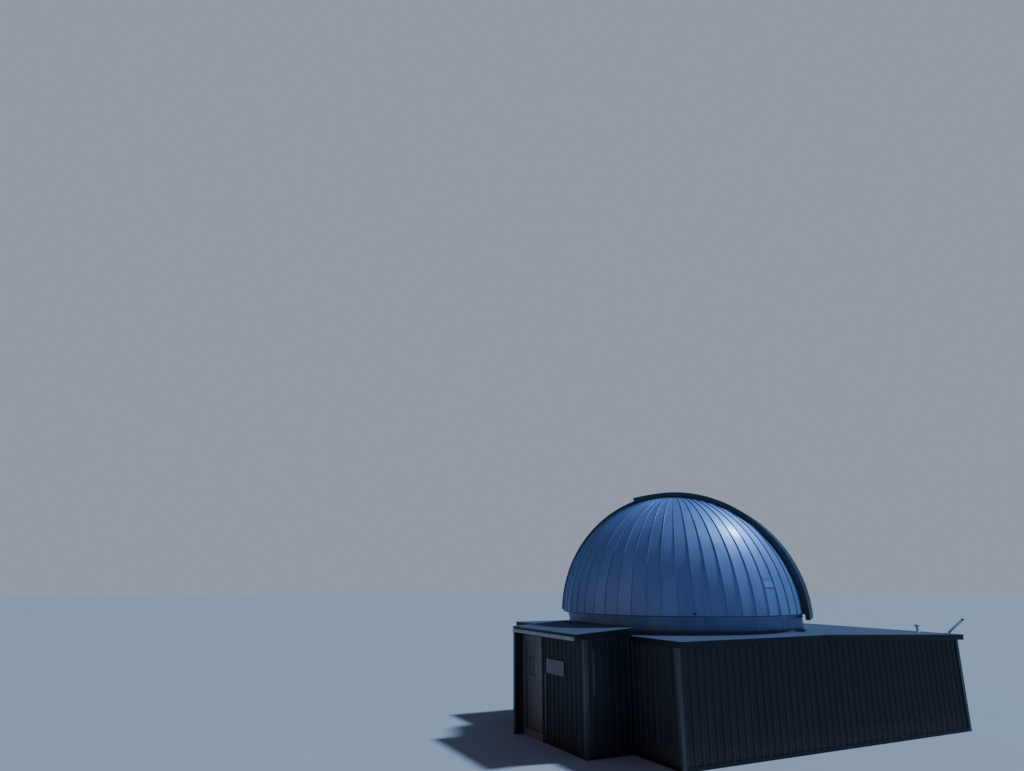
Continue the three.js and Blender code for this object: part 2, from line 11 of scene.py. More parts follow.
import bmesh
import bpy
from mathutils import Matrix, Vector
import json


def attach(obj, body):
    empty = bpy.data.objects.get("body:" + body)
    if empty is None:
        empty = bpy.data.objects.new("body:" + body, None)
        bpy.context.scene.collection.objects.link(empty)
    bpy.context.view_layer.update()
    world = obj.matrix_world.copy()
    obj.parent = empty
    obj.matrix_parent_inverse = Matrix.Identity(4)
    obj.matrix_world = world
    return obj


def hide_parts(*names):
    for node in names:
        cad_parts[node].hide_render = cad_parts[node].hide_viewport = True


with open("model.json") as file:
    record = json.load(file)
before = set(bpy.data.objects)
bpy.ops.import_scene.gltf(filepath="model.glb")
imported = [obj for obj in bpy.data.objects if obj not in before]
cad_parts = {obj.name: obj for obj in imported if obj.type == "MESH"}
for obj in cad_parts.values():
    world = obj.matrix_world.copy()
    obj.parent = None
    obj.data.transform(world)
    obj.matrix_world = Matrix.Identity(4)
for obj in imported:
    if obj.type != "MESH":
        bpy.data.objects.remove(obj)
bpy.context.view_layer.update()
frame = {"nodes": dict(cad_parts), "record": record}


# %% [markdown]
# ## The camera
# The camera stands where the building was seen from: low down, off its front left corner, looking slightly
# up. A wide lens is used without shift, so the same camera can be carried round the building for other
# views.

# %% Camera
def add_object(name, data):
    thing = bpy.data.objects.new(name, data)
    bpy.context.scene.collection.objects.link(thing)
    return thing


camera_data = bpy.data.cameras.new("viewpoint")
camera_data.lens = 24.609
camera_data.sensor_width = 36.0
camera_data.sensor_fit = "HORIZONTAL"
camera = add_object("viewpoint", camera_data)
camera.location = (-13.055, -16.261, 3.765)
camera.rotation_euler = (math.radians(105.338), 0.0, math.radians(-25.781))
bpy.context.scene.camera = camera
print("camera height:", camera.location.z)


# %% [markdown]
# ## How a finish is put together
# A painted or bare sheet is never one flat colour. Rain leaves streaks, each sheet has its own tone, the
# metal waves a little between its fixings, and its satin surface has a fine grain. Each of these effects is
# a node group, made once, and every finish below uses them with values of its own.

# %% Small helpers for node trees
def feed(node, values):
    # A value that is another node's output is linked to the socket, and any other value is set on it.
    for socket, value in values.items():
        if isinstance(value, bpy.types.NodeSocket):
            node.id_data.links.new(value, node.inputs[socket])
        else:
            node.inputs[socket].default_value = value


def put(tree, kind, values, **options):
    node = tree.nodes.new(kind)
    for option, value in options.items():
        setattr(node, option, value)
    feed(node, values)
    return node


def figure(tree, operation, *numbers):
    return put(tree, "ShaderNodeMath", dict(enumerate(numbers)), operation=operation).outputs[0]


def remap(tree, value, low, high, new_low=0.0, new_high=1.0):
    values = {"Value": value, "From Min": low, "From Max": high, "To Min": new_low, "To Max": new_high}
    return put(tree, "ShaderNodeMapRange", values).outputs[0]


def noise(tree, place, scale, detail, roughness=0.5):
    values = {"Vector": place, "Scale": scale, "Detail": detail, "Roughness": roughness}
    return put(tree, "ShaderNodeTexNoise", values).outputs["Fac"]


def axes(tree, place):
    return put(tree, "ShaderNodeSeparateXYZ", {0: place}).outputs


def start_group(name, inputs, output):
    tree = bpy.data.node_groups.new(name, "ShaderNodeTree")
    for label, kind in inputs.items():
        tree.interface.new_socket(label, in_out="INPUT", socket_type="NodeSocket" + kind)
    tree.interface.new_socket(output, in_out="OUTPUT", socket_type="NodeSocketFloat")
    return tree, tree.nodes.new("NodeGroupInput").outputs


def end_group(tree, value):
    put(tree, "NodeGroupOutput", {0: value})
    print("group made:", tree.name)


def effect(tree, group, **values):
    return put(tree, "ShaderNodeGroup", values, node_tree=group).outputs[0]


# %% Rain streaks: noise that is drawn out along the height
streak_inputs = {"Place": "Vector", "Fineness": "Float", "Length": "Float"}
streaks, given = start_group("rain_streaks", streak_inputs, "Mask")
parts = axes(streaks, given["Place"])
shortened = figure(streaks, "DIVIDE", parts["Z"], given["Length"])
drawn_out = put(streaks, "ShaderNodeCombineXYZ", {"X": parts["X"], "Y": parts["Y"], "Z": shortened})
cloudy = noise(streaks, drawn_out.outputs[0], given["Fineness"], 4.0, 0.6)
end_group(streaks, remap(streaks, cloudy, 0.42, 0.68))

# %% Sheet waves and satin grain
waves, given = start_group("sheet_waves", {"Place": "Vector", "Fineness": "Float"}, "Height")
end_group(waves, noise(waves, given["Place"], given["Fineness"], 1.0, 0.4))
grain, given = start_group("satin_grain", {"Place": "Vector", "Fineness": "Float"}, "Grain")
end_group(grain, noise(grain, given["Place"], given["Fineness"], 6.0, 0.7))

# %% A tone of its own for each sheet
sheet_tone, given = start_group("sheet_tone", {"Along": "Float", "Width": "Float"}, "Tone")
sheet_number = figure(sheet_tone, "FLOOR", figure(sheet_tone, "DIVIDE", given["Along"], given["Width"]))
chance = put(sheet_tone, "ShaderNodeTexWhiteNoise", {"W": sheet_number}, noise_dimensions="1D")
end_group(sheet_tone, chance.outputs["Value"])

# %% Dirt that gathers towards a foot
splash, given = start_group("foot_dirt", {"Place": "Vector", "Foot": "Float", "Reach": "Float"}, "Mask")
above = figure(splash, "SUBTRACT", axes(splash, given["Place"])["Z"], given["Foot"])
share = figure(splash, "DIVIDE", above, given["Reach"])
ragged = figure(splash, "ADD", share, noise(splash, given["Place"], 5.0, 5.0))
end_group(splash, remap(splash, ragged, 0.45, 1.45, 1.0, 0.0))

# %% [markdown]
# ## The recipe for a sheet metal finish
# All the metal here is flat or folded sheet, so one recipe serves: a clean and a weathered colour mixed by
# the streaks, dirt towards a foot, a roughness that varies with the grain, and a bump of waves and grain
# whose heights are in millimetres. What differs from finish to finish is given as values.

# %% Sheet finish
Finish = namedtuple("Finish", "material slot")
millimetre = 0.001
grain_fineness = 60.0
dirt_strength = 0.7


def mix_colour(tree, amount, first, second, blend="MIX"):
    values = {0: amount}
    for socket, colour in ((6, first), (7, second)):
        values[socket] = colour if isinstance(colour, bpy.types.NodeSocket) else (*colour, 1.0)
    return put(tree, "ShaderNodeMix", values, data_type="RGBA", blend_type=blend).outputs[2]


def between(tree, cloudy, low, high):
    # Noise lies mostly between 0.3 and 0.7.
    return remap(tree, cloudy, 0.3, 0.7, low, high)


def start_finish(name):
    material = bpy.data.materials.new(name)
    material.use_nodes = True
    tree = material.node_tree
    where = put(tree, "ShaderNodeTexCoord", {}).outputs["Object"]
    return material, tree, tree.nodes["Principled BSDF"], where


def sheet_finish(slot, clean, weathered, metallic=0.1, roughness=0.5, streak=0.6, streak_size=(5.0, 8.0),
                 wave=1.0, wave_fineness=1.2, grain_height=0.04, dirt=None, tone_along=None):
    material, tree, shader, where = start_finish(slot)
    fineness, length = streak_size
    mask = effect(tree, streaks, Place=where, Fineness=fineness, Length=length)
    colour = mix_colour(tree, figure(tree, "MULTIPLY", mask, streak), clean, weathered)
    if tone_along:
        along, width, spread = tone_along(tree, where)
        tone = effect(tree, sheet_tone, Along=along, Width=width)
        colour = mix_colour(tree, 1.0, colour, remap(tree, tone, 0.0, 1.0, 1.0 - spread, 1.0), "MULTIPLY")
    if dirt:
        foot, reach, dirt_colour = dirt
        low = effect(tree, splash, Place=where, Foot=foot, Reach=reach)
        colour = mix_colour(tree, figure(tree, "MULTIPLY", low, dirt_strength), colour, dirt_colour)
    fine = effect(tree, grain, Place=where, Fineness=grain_fineness)
    swell = effect(tree, waves, Place=where, Fineness=wave_fineness)
    swell_height = figure(tree, "MULTIPLY", swell, wave)
    height = figure(tree, "ADD", swell_height, figure(tree, "MULTIPLY", fine, grain_height))
    bump = put(tree, "ShaderNodeBump", {"Strength": 1.0, "Distance": millimetre, "Height": height})
    feed(shader, {
        "Base Color": colour,
        "Metallic": metallic,
        "Roughness": between(tree, fine, roughness - 0.05, roughness + 0.07),
        "Normal": bump.outputs[0],
    })
    print("finish:", slot)
    return Finish(material, slot)


# %% [markdown]
# ## The dome's silver
# The dome is bare aluminium sheet gone satin, in narrow upright gores that never quite match, so each gore
# gets a slightly different tone. The gores are counted by their bearing round the dome's axis. A thin clear
# coat on top gives the small bright highlight.

# %% Silver for the gores
gore_count = 54
gore_step = 360.0 / gore_count
first_seam = 1.3
slit_bearing = -51.35


def gore_by_bearing(tree, where):
    parts = axes(tree, where)
    bearing = figure(tree, "ARCTAN2", parts["Y"], parts["X"])
    from_seam = figure(tree, "ADD", bearing, -math.radians(slit_bearing + first_seam))
    return from_seam, math.radians(gore_step), 0.16


# Both colours are strongly blue: a painted reflection of a blue sky on pale grey metal.
silver = sheet_finish(
    "dome_metal", (0.31, 0.455, 0.83), (0.215, 0.32, 0.60), metallic=0.3, streak=0.55,
    streak_size=(2.2, 3.0), wave=5.0, wave_fineness=1.1, tone_along=gore_by_bearing,
)
feed(silver.material.node_tree.nodes["Principled BSDF"], {"Coat Weight": 0.45, "Coat Roughness": 0.24})

# %% [markdown]
# ## Painted sheet
# Rails and shutter are dark slate paint, the shutter's lowest sheet is a brownish grey, the walls are dark
# grey with streaks down the ribs, and the roof, drum, door and sign are paler. Paint is far less metallic
# than the bare dome. Three trims share one slot: pale, grey for the folded corners, and a brighter copy
# for the vent and arm: pale paint, with extra lightness painted in as light on faces left in shade.

# %% Paints for the shutter and the trims
slate = sheet_finish(
    "slate_metal", (0.052, 0.095, 0.155), (0.075, 0.115, 0.165), metallic=0.35, roughness=0.42,
    streak_size=(4.0, 3.0), wave=2.5,
)
brown_grey = sheet_finish(
    "brown_grey_metal", (0.078, 0.074, 0.088), (0.052, 0.056, 0.068), metallic=0.3, roughness=0.46,
    streak_size=(4.0, 3.0), wave=2.0,
)
dark_trim = sheet_finish(
    "dark_trim", (0.012, 0.017, 0.026), (0.03, 0.035, 0.045), metallic=0.2, streak=0.5,
    streak_size=(3.0, 0.5),
)
pale_trim = sheet_finish("pale_trim", (0.42, 0.42, 0.43), (0.26, 0.26, 0.27))
# A lighter copy of the pale trim for the vent and arm: its extra lightness is painted light on faces in
# shade.
painted_lit_trim = sheet_finish("pale_trim", (0.82, 0.81, 0.82), (0.66, 0.65, 0.66), metallic=0.0, wave=0.5)
grey_trim = sheet_finish(
    "pale_trim", (0.105, 0.110, 0.124), (0.070, 0.073, 0.082), metallic=0.15, streak=0.7,
    dirt=(0.0, 0.5, (0.09, 0.08, 0.07)),
)


# %% Paints for walls, roof, drum, door and sign
def wall_sheet_by_length(tree, where):
    parts = axes(tree, where)
    return figure(tree, "ADD", parts["X"], parts["Y"]), 1.0, 0.12


cladding = sheet_finish(
    "wall_cladding", (0.037, 0.042, 0.053), (0.025, 0.028, 0.035), roughness=0.55, streak=0.8,
    streak_size=(6.0, 14.0), wave=1.5, dirt=(0.0, 0.55, (0.09, 0.078, 0.066)),
    tone_along=wall_sheet_by_length,
)
roof_pale = sheet_finish(
    "roof_metal", (0.145, 0.158, 0.220), (0.105, 0.115, 0.158), streak=0.5, streak_size=(1.3, 1.0),
    wave=3.0, wave_fineness=0.9,
)
drum_pale = sheet_finish(
    "drum_metal", (0.26, 0.38, 0.66), (0.185, 0.27, 0.47), metallic=0.2, roughness=0.44,
    streak_size=(3.5, 4.0), wave=2.5, dirt=(2.46, 0.16, (0.14, 0.15, 0.17)),
)
door_paint = sheet_finish(
    "door_paint", (0.185, 0.172, 0.178), (0.122, 0.110, 0.112), metallic=0.0, roughness=0.42, streak=0.5,
    streak_size=(5.0, 6.0), wave=0.6, dirt=(0.16, 0.5, (0.16, 0.13, 0.11)),
)
sign_sheet = sheet_finish(
    "sign_sheet", (0.235, 0.225, 0.25), (0.17, 0.165, 0.185), roughness=0.55, streak=0.5,
    streak_size=(6.0, 4.0), wave=0.6,
)
steel = sheet_finish(
    "bare_steel", (0.46, 0.47, 0.48), (0.30, 0.29, 0.28), metallic=0.9, roughness=0.34, streak=0.5,
    streak_size=(20.0, 2.0), wave=0.2, grain_height=0.02,
)

# %% [markdown]
# ## Concrete and glass
# The floors are trowelled concrete: cloudy in tone, with small pores. The door's pane is clear glass with a
# slight smoke tint. It keeps plain transmission, and only its roughness and tint vary with the dust on it.

# %% Concrete and glass
material, tree, shader, where = start_finish("concrete")
clouds = effect(tree, waves, Place=where, Fineness=2.5)
pores = effect(tree, grain, Place=where, Fineness=90.0)
tone = mix_colour(tree, between(tree, clouds, 0.0, 1.0), (0.24, 0.235, 0.22), (0.36, 0.35, 0.33))
bump = put(tree, "ShaderNodeBump", {"Strength": 0.5, "Distance": 0.0008, "Height": pores})
feed(shader, {
    "Base Color": mix_colour(tree, 0.35, tone, pores, "MULTIPLY"),
    "Roughness": between(tree, pores, 0.75, 0.92),
    "Normal": bump.outputs[0],
})
concrete = Finish(material, "concrete")

material, tree, shader, where = start_finish("glazing")
dust = effect(tree, streaks, Place=where, Fineness=9.0, Length=3.0)
feed(shader, {
    "Base Color": mix_colour(tree, dust, (0.32, 0.35, 0.38), (0.42, 0.44, 0.46)),
    "Roughness": between(tree, dust, 0.04, 0.12),
    "Transmission Weight": 0.5,
    "IOR": 1.45,
})
glazing = Finish(material, "glazing")
print("finishes:", concrete.slot, glazing.slot)

# %% [markdown]
# ## Finishes for the solids
# Every solid gets a finish, also those that a finer piece will stand for, so that nothing is left plain.

# %% Dress the solids
finish_of = {finish.slot: finish for finish in (
    silver, slate, brown_grey, dark_trim, pale_trim, cladding, roof_pale, drum_pale, door_paint, sign_sheet,
    steel, concrete, glazing)}
for subpart in frame["record"]["subparts"]:
    for material_slot in frame["nodes"][subpart["node"]].material_slots:
        material_slot.material = finish_of[subpart["material_slot"]].material


# %% [markdown]
# ## Making pieces
# Nearly every piece here is sheet or bar of one section, carried along a line: a gore along its arc, a rail
# round the slit, a ribbed wall along its length. So one loft makes them: a row of rings with as many points
# each, joined by faces. Folded edges are kept sharp and bent ones smooth, by the angle between their faces.

# %% Loft and piece helpers
def loft(rings, closed=False, sharp_rings=False, into=None):
    mesh = into or bmesh.new()
    rows = [[mesh.verts.new(point) for point in ring] for ring in rings]
    count = len(rows[0])
    pairs = list(zip(rows, rows[1:]))
    if closed:
        pairs.append((rows[-1], rows[0]))
    for here, there in pairs:
        for i in range(count):
            j = (i + 1) % count
            face = mesh.faces.new((here[i], here[j], there[j], there[i]))
            if sharp_rings:
                face.edges[0].smooth = False
    if not closed:
        mesh.faces.new(rows[0][::-1])
        mesh.faces.new(rows[-1])
    return mesh


def mesh_data(name, mesh):
    bmesh.ops.recalc_face_normals(mesh, faces=mesh.faces)
    data = bpy.data.meshes.new(name)
    mesh.to_mesh(data)
    mesh.free()
    return data


def make_piece(name, mesh, finish, *nodes, body="building", crease=30.0):
    # The nodes are the solids that the piece stands for. Edges bent by more than the crease's degrees are
    # sharp.
    kept_sharp = [not edge.smooth for edge in mesh.edges]
    data = mesh_data(name, mesh)
    data.shade_smooth()
    data.set_sharp_from_angle(angle=math.radians(crease))
    for edge, sharp in zip(data.edges, kept_sharp):
        if sharp:
            edge.use_edge_sharp = True
    data.materials.append(finish.material)
    piece = add_object(name, data)
    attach(piece, body)
    if nodes:
        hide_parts(*nodes)
    print("piece made:", name, "faces:", len(data.polygons))
    return piece


def cut_away(mesh, point, direction):
    # Removes what lies behind a plane, and closes the cut.
    everything = mesh.verts[:] + mesh.edges[:] + mesh.faces[:]
    bmesh.ops.bisect_plane(mesh, geom=everything, dist=1e-6, plane_co=point, plane_no=direction,
                           clear_inner=True)
    bmesh.ops.holes_fill(mesh, edges=[edge for edge in mesh.edges if edge.is_boundary])
    return mesh


def degrees_between(start, end, step):
    count = max(1, round((end - start) / step))
    return [start + (end - start) * i / count for i in range(count + 1)]


def cosine(degrees):
    return math.cos(math.radians(degrees))


def sine(degrees):
    return math.sin(math.radians(degrees))


# %% [markdown]
# ## The dome's gores
# Each gore is a long strip of sheet bent one way only: it is curved from foot to crown, but straight
# across. That gives the dome its facets. A plain sphere would lose them, so the skin is lofted from
# seam to seam, with the edges at the seams kept sharp and the arc from foot to crown smooth. The slot for
# the slit is cut off straight.

# %% Points on the dome
centre_height = 2.736
dome_radius = 3.25
shell_thickness = 0.040
shell_foot = 2.8943
rail_outside = 0.626
sides = (("left", 1.0), ("right", -1.0))
dome_centre = Vector((0.0, 0.0, centre_height))
slit_ahead = Vector((cosine(slit_bearing), sine(slit_bearing), 0.0))
slit_left = Vector((-slit_ahead.y, slit_ahead.x, 0.0))
upward = Vector((0.0, 0.0, 1.0))


def on_dome(radius, elevation, bearing):
    # The bearing is counted from the slit's middle.
    level = slit_ahead * cosine(bearing) + slit_left * sine(bearing)
    return dome_centre + level * (radius * cosine(elevation)) + upward * radius * sine(elevation)


def out_of_dome(point):
    return (point - dome_centre).normalized()


def foot_elevation(radius):
    return math.degrees(math.asin((shell_foot - centre_height) / radius))


# %% Gore skin, one half on each side of the slit
crown_elevation = 80.0
cut_gap = 0.0005
seam_bearings = [first_seam + gore * gore_step for gore in range(gore_count)]


def gore_arc(radius, bearing):
    elevations = degrees_between(foot_elevation(radius), crown_elevation, 2.0)
    return [on_dome(radius, elevation, bearing) for elevation in elevations]


rings = [gore_arc(dome_radius, bearing) + gore_arc(dome_radius - shell_thickness, bearing)[::-1]
         for bearing in seam_bearings]
for label, side in sides:
    skin = loft(rings, closed=True, sharp_rings=True)
    cut_away(skin, dome_centre + slit_left * side * (rail_outside + cut_gap), slit_left * side)
    make_piece(f"gores_{label}", skin, silver, f"dome_panel_{label}_front", f"dome_panel_{label}_rear",
               body="dome")

# %% [markdown]
# ## Standing seams
# Neighbouring gores are folded together into a standing seam, a low rib that runs from the dome's foot up
# to the flashing at the rails. A line drawn on the material would cast no shadow, so the ribs are lofted as
# real sections.

# %% Seams
seam_outline = [
    (-0.008, -0.004), (-0.0055, 0.0110), (-0.0076, 0.0124), (-0.0055, 0.020), (0.0055, 0.020),
    (0.0076, 0.0124), (0.0055, 0.0110), (0.008, -0.004),
]
seam_end = 0.702


def seam_section(elevation, bearing):
    base = on_dome(dome_radius, elevation, bearing)
    out = out_of_dome(base)
    across = upward.cross(out).normalized()
    return [base + across * u + out * v for u, v in seam_outline]


seams = bmesh.new()
for bearing in seam_bearings:
    offset = dome_radius * abs(sine(bearing))
    if offset > seam_end + 0.02:
        top = math.degrees(math.acos(seam_end / offset))
        rows = degrees_between(foot_elevation(dome_radius) + 0.05, top, 2.5)
        loft([seam_section(elevation, bearing) for elevation in rows], into=seams)
make_piece("standing_seams", seams, silver, body="dome", crease=50.0)

# %% [markdown]
# ## Small things on the gores
# One gore has a dented lap low on the right, which catches the light below a dark line. It is two thin
# wedges on the gore's face. A short bolt head stands out near the dome's foot.

# %% Dented lap
half_gore = gore_step / 2.0
lap_bearing = first_seam - 5.5 * gore_step
lap_half = math.radians(half_gore) * dome_radius * 0.84
lap_across = upward.cross(out_of_dome(on_dome(1.0, 0.0, lap_bearing))).normalized()


def on_gore(elevation, across_part, proud):
    half = lap_half * cosine(elevation)
    point = on_dome(dome_radius * cosine(half_gore) + proud, elevation, lap_bearing)
    return point + lap_across * half * across_part


lap = bmesh.new()
for wedge in (((14.2, 0.016), (16.6, 0.003)), ((16.8, 0.003), (18.6, 0.014))):
    loft([[on_gore(elevation, across, height) for across, height in
           ((-1.0, -0.004), (-0.96, proud), (0.96, proud), (1.0, -0.004))]
          for elevation, proud in wedge], into=lap)
dented_lap = make_piece("dented_lap", lap, silver, body="dome")
rounding = dented_lap.modifiers.new("rounded_edges", "BEVEL")
rounding.width = 0.002
rounding.segments = 2
rounding.limit_method = "ANGLE"
rounding.angle_limit = math.radians(40.0)


# %% Bolt near the foot
def lathe(profile, centre, axis, facets, into=None, start=None):
    # Turns a profile of (radius, height) pairs about an axis. The first point lies towards start.
    axis = axis.normalized()
    start = start or axis.orthogonal().normalized()
    third = axis.cross(start)
    turns = [turn * math.tau / facets for turn in range(facets)]
    return loft([[centre + axis * height + start * radius * math.cos(turn) + third * radius * math.sin(turn)
                  for turn in turns] for radius, height in profile], into=into)


bolt_place = on_dome(dome_radius, 3.7, -72.0)
bolt_out = out_of_dome(bolt_place)
bolt_profile = [(0.030, -0.006), (0.030, 0.006), (0.018, 0.008), (0.018, 0.034), (0.013, 0.040)]
bolt = lathe(bolt_profile, bolt_place, bolt_out, 16, start=upward.cross(bolt_out).normalized())
make_piece("foot_bolt", bolt, slate, body="dome")

# %% [markdown]
# ## Rails round the slit
# Two curved box rails edge the slit and carry the shutter. They run over the crown and down the back of the
# dome. A band of a given section swept round the dome's centre makes them, and the same band makes the
# shutter later.

# %% Bands about the dome's centre
shell_foot_point = Vector((0.0, 0.0, shell_foot))


def on_band(radius, angle, across):
    # The angle is counted from the slit's foot, over the crown, and the offset across from the slit's middle.
    in_plane = slit_ahead * radius * cosine(angle) + upward * radius * sine(angle)
    return dome_centre + in_plane + slit_left * across


def band_ring(section, angle):
    return [on_band(radius, angle, across) for radius, across in section]


def band(section, start, end, step=1.5, into=None):
    return loft([band_ring(section, angle) for angle in degrees_between(start, end, step)], into=into)


def oblong(inside, outside, low, high, slant=0.0):
    return [(inside, low), (outside, low + slant), (outside, high - slant), (inside, high)]


def eased(inside, outside, low, high, ease):
    # An oblong with its two outer corners cut off.
    inset = math.copysign(ease, high - low)
    return [(inside, low), (outside - ease, low), (outside, low + inset),
            (outside, high - inset), (outside - ease, high), (inside, high)]


# %% Rails
slit_half = 0.568
rail_inner = 3.110
rail_outer = 3.301
rail_ease = 0.005
for label, side in sides:
    section = eased(rail_inner, rail_outer, side * slit_half, side * rail_outside, rail_ease)
    rail = cut_away(band(section, 0.0, 180.0), shell_foot_point, upward)
    make_piece(f"rail_{label}", rail, slate, f"slit_rail_{label}", body="dome", crease=20.0)

# %% Flashing that closes the gores against the rails
# Each pair is the distance from the slit's middle, and how far the sheet stands proud of the dome there.
flashing_outline = [
    (0.6265, 0.001), (0.6265, 0.032), (0.6295, 0.032), (0.6310, 0.0055), (0.665, 0.0045), (0.700, 0.0035),
    (0.700, 0.001), (0.665, 0.001),
]
flashing = bmesh.new()
for side in (1.0, -1.0):
    section = [(math.sqrt(dome_radius ** 2 - across ** 2) + proud, side * across)
               for across, proud in flashing_outline]
    band(section, 0.0, 180.0, into=flashing)
make_piece("rail_flashing", cut_away(flashing, shell_foot_point, upward), slate, body="dome")

# %% Sheet behind the slit
strip_half = 0.5675
strip_inner = 3.160
strip_outer = 3.200
strip = band(oblong(strip_inner, strip_outer, -strip_half, strip_half), 105.0, 180.0)
cut_away(strip, shell_foot_point, upward)
make_piece("rear_strip", strip, silver, "slit_rear_strip", body="dome", crease=20.0)
laps = bmesh.new()
lap_section = oblong(strip_outer - 0.001, strip_outer + 0.004, -strip_half, strip_half)
for angle in (117.0, 129.0, 141.0, 153.0, 165.0):
    band(lap_section, angle, angle + 1.0, into=laps)
make_piece("rear_strip_laps", laps, silver, body="dome")

# %% [markdown]
# ## The shutter
# The shutter is one long curved sheet that rides over the rails, with a cheek plate hanging down on each
# side. It is made of shorter sheets, lapped and riveted, and its lowest sheet is a browner grey and has a
# rounded end.

# %% Shutter sheets
skin_inner = 3.3135
skin_outer = 3.3330
skin_half = 0.659
skin_ease = 0.006
lower_end = 15.0
upper_end = 108.0
skin_section = eased(skin_inner, skin_outer, -skin_half, skin_half, skin_ease)
make_piece("shutter_sheet", band(skin_section, lower_end, upper_end), slate, "shutter_skin", body="shutter",
           crease=20.0)

end_fall = 0.012
end_fall_reach = 0.6
lower = []
for angle in (0.0, 0.08, 0.2, 0.35, 0.6, 1.0, *degrees_between(2.0, lower_end - 0.01, 1.5)):
    fall = end_fall * max(0.0, 1.0 - angle / end_fall_reach) ** 2
    section = [(min(radius, skin_outer - fall), across) for radius, across in skin_section]
    lower.append(band_ring(section, angle))
make_piece("shutter_lower_sheet", loft(lower), brown_grey, "shutter_lower_panel", body="shutter",
           crease=20.0)

# %% Laps across the shutter, and the lips at its ends
lap_foot = skin_outer - 0.001
lap_section = oblong(lap_foot, skin_outer + 0.0035, -0.654, 0.654, slant=0.002)
end_lap_section = oblong(lap_foot, skin_outer + 0.0038, -0.655, 0.655, slant=0.002)
laps = bmesh.new()
for angle in (31.0, 47.0, 63.0, 79.0):
    band(lap_section, angle, angle + 1.1, 0.6, laps)
band(end_lap_section, lower_end - 0.7, lower_end + 0.7, 0.7, laps)
lip_half = 0.560
for lip_edge, start, end in ((3.2115, upper_end - 0.9, upper_end - 0.05), (3.262, 0.05, 0.9)):
    band(oblong(lip_edge, skin_inner + 0.001, -lip_half, lip_half), start, end, 0.4, laps)
make_piece("shutter_laps", laps, slate, body="shutter")


# %% Rivets along the shutter's edges
def round_heads(spots, radius, height, into=None, facets=8):
    # Each spot is a point on the sheet, the way out of it, and a direction along it.
    mesh = into or bmesh.new()
    profile = [(radius, -0.3 * height), (radius * 0.9, 0.35 * height), (radius * 0.6, 0.8 * height),
               (radius * 0.2, height)]
    for point, out, along in spots:
        lathe(profile, point, out, facets, mesh, along)
    return mesh


spots = []
for angle in degrees_between(1.5, 95.0, 2.6):
    for across in (-0.637, 0.637):
        spots.append((on_band(skin_outer, angle, across), out_of_dome(on_band(1.0, angle, 0.0)), slit_left))
make_piece("shutter_rivets", round_heads(spots, 0.010, 0.0038), slate, body="shutter", crease=60.0)

# %% Hood over the shutter's upper end
hood_start = 96.5
hood_rise = 0.050
hood_half = 0.655
rings = []
for angle in (*degrees_between(hood_start, upper_end - 0.12, 1.0), upper_end):
    share = (angle - hood_start) / (upper_end - hood_start)
    top = skin_outer + 0.003 + hood_rise * share ** 1.6
    if angle == upper_end:
        top -= skin_ease
    rings.append(band_ring(eased(lap_foot, top, -hood_half, hood_half, skin_ease), angle))
make_piece("shutter_hood", loft(rings), slate, body="shutter", crease=25.0)

# %% Cheek plates
cheek_inside = 0.633
cheek_low = 3.222
cheek_high = 3.3127
cheek_rounding = 0.045


def cheek_radii(angle):
    # The lower end of a cheek is rounded off at both corners.
    short = cheek_rounding - math.radians(angle) * skin_outer
    if short <= 0.0:
        return cheek_low, cheek_high
    drop = (cheek_rounding - math.sqrt(cheek_rounding ** 2 - short ** 2)) * 0.98
    return cheek_low + drop, cheek_high - drop


lower_angles = [0.004, 0.03, 0.08, 0.16, 0.28, 0.42, 0.6, 0.78, *degrees_between(1.2, lower_end, 1.5)]
for label, side in sides:
    for part, finish, angles in (
        ("_lower", brown_grey, lower_angles), ("", slate, degrees_between(lower_end, upper_end, 1.5)),
    ):
        near = side * cheek_inside
        far = side * skin_half
        rings = []
        for angle in angles:
            low, high = cheek_radii(angle)
            fold = min(0.005, (high - low) * 0.2)
            section = [(low, near), (high, near), (high, far), (low + fold, far), (low, far - side * fold)]
            rings.append(band_ring(section, angle))
        make_piece(f"cheek_{label}{part}", loft(rings), finish, f"shutter_cheek_{label}", body="shutter",
                   crease=25.0)

# %% [markdown]
# ## The drum
# The drum is a ring wall of curved sheets on the roof. Its foot follows the roof's fall to the right, so
# its section is drawn afresh at each step round. Cover strips close the upright joints. One wider strip
# near the drum's right edge is dark: a painted shadow of the shutter's lower end. A flashing turns the
# roof sheet up against its foot, and a folded cap closes its top.

# %% Heights of the roofs
roof_left, roof_right, roof_front, roof_rear = -3.265, 6.015, -3.947, 3.732
roof_top = 2.480
fall_start = 1.107
fall_slope = 0.153 / (roof_right - fall_start)
porch_front, porch_back, porch_side_near, porch_side_far = -4.703, -3.100, -2.178, 1.002
porch_top = 2.548
porch_slope = 0.094 / (roof_left - porch_front)


def roof_height(x):
    return roof_top - max(0.0, x - fall_start) * fall_slope


def porch_height(x):
    return porch_top + (x - porch_front) * porch_slope


# %% Drum wall, cap and flashing
drum_inner = 3.030
drum_outer = 3.090
drum_top = 2.782
drum_face = drum_outer - 0.002


def on_drum(radius, bearing, height):
    return Vector((radius * cosine(bearing), radius * sine(bearing), height))


def drum_foot(bearing):
    return roof_height(drum_outer * cosine(bearing))


def drum_ring(outline_at, start=0.0, end=360.0, step=2.5, into=None):
    closed = end - start >= 360.0
    bearings = degrees_between(start, end, step)
    if closed:
        bearings = bearings[:-1]
    return loft([[on_drum(radius, bearing, height) for radius, height in outline_at(bearing)]
                 for bearing in bearings], closed=closed, into=into)


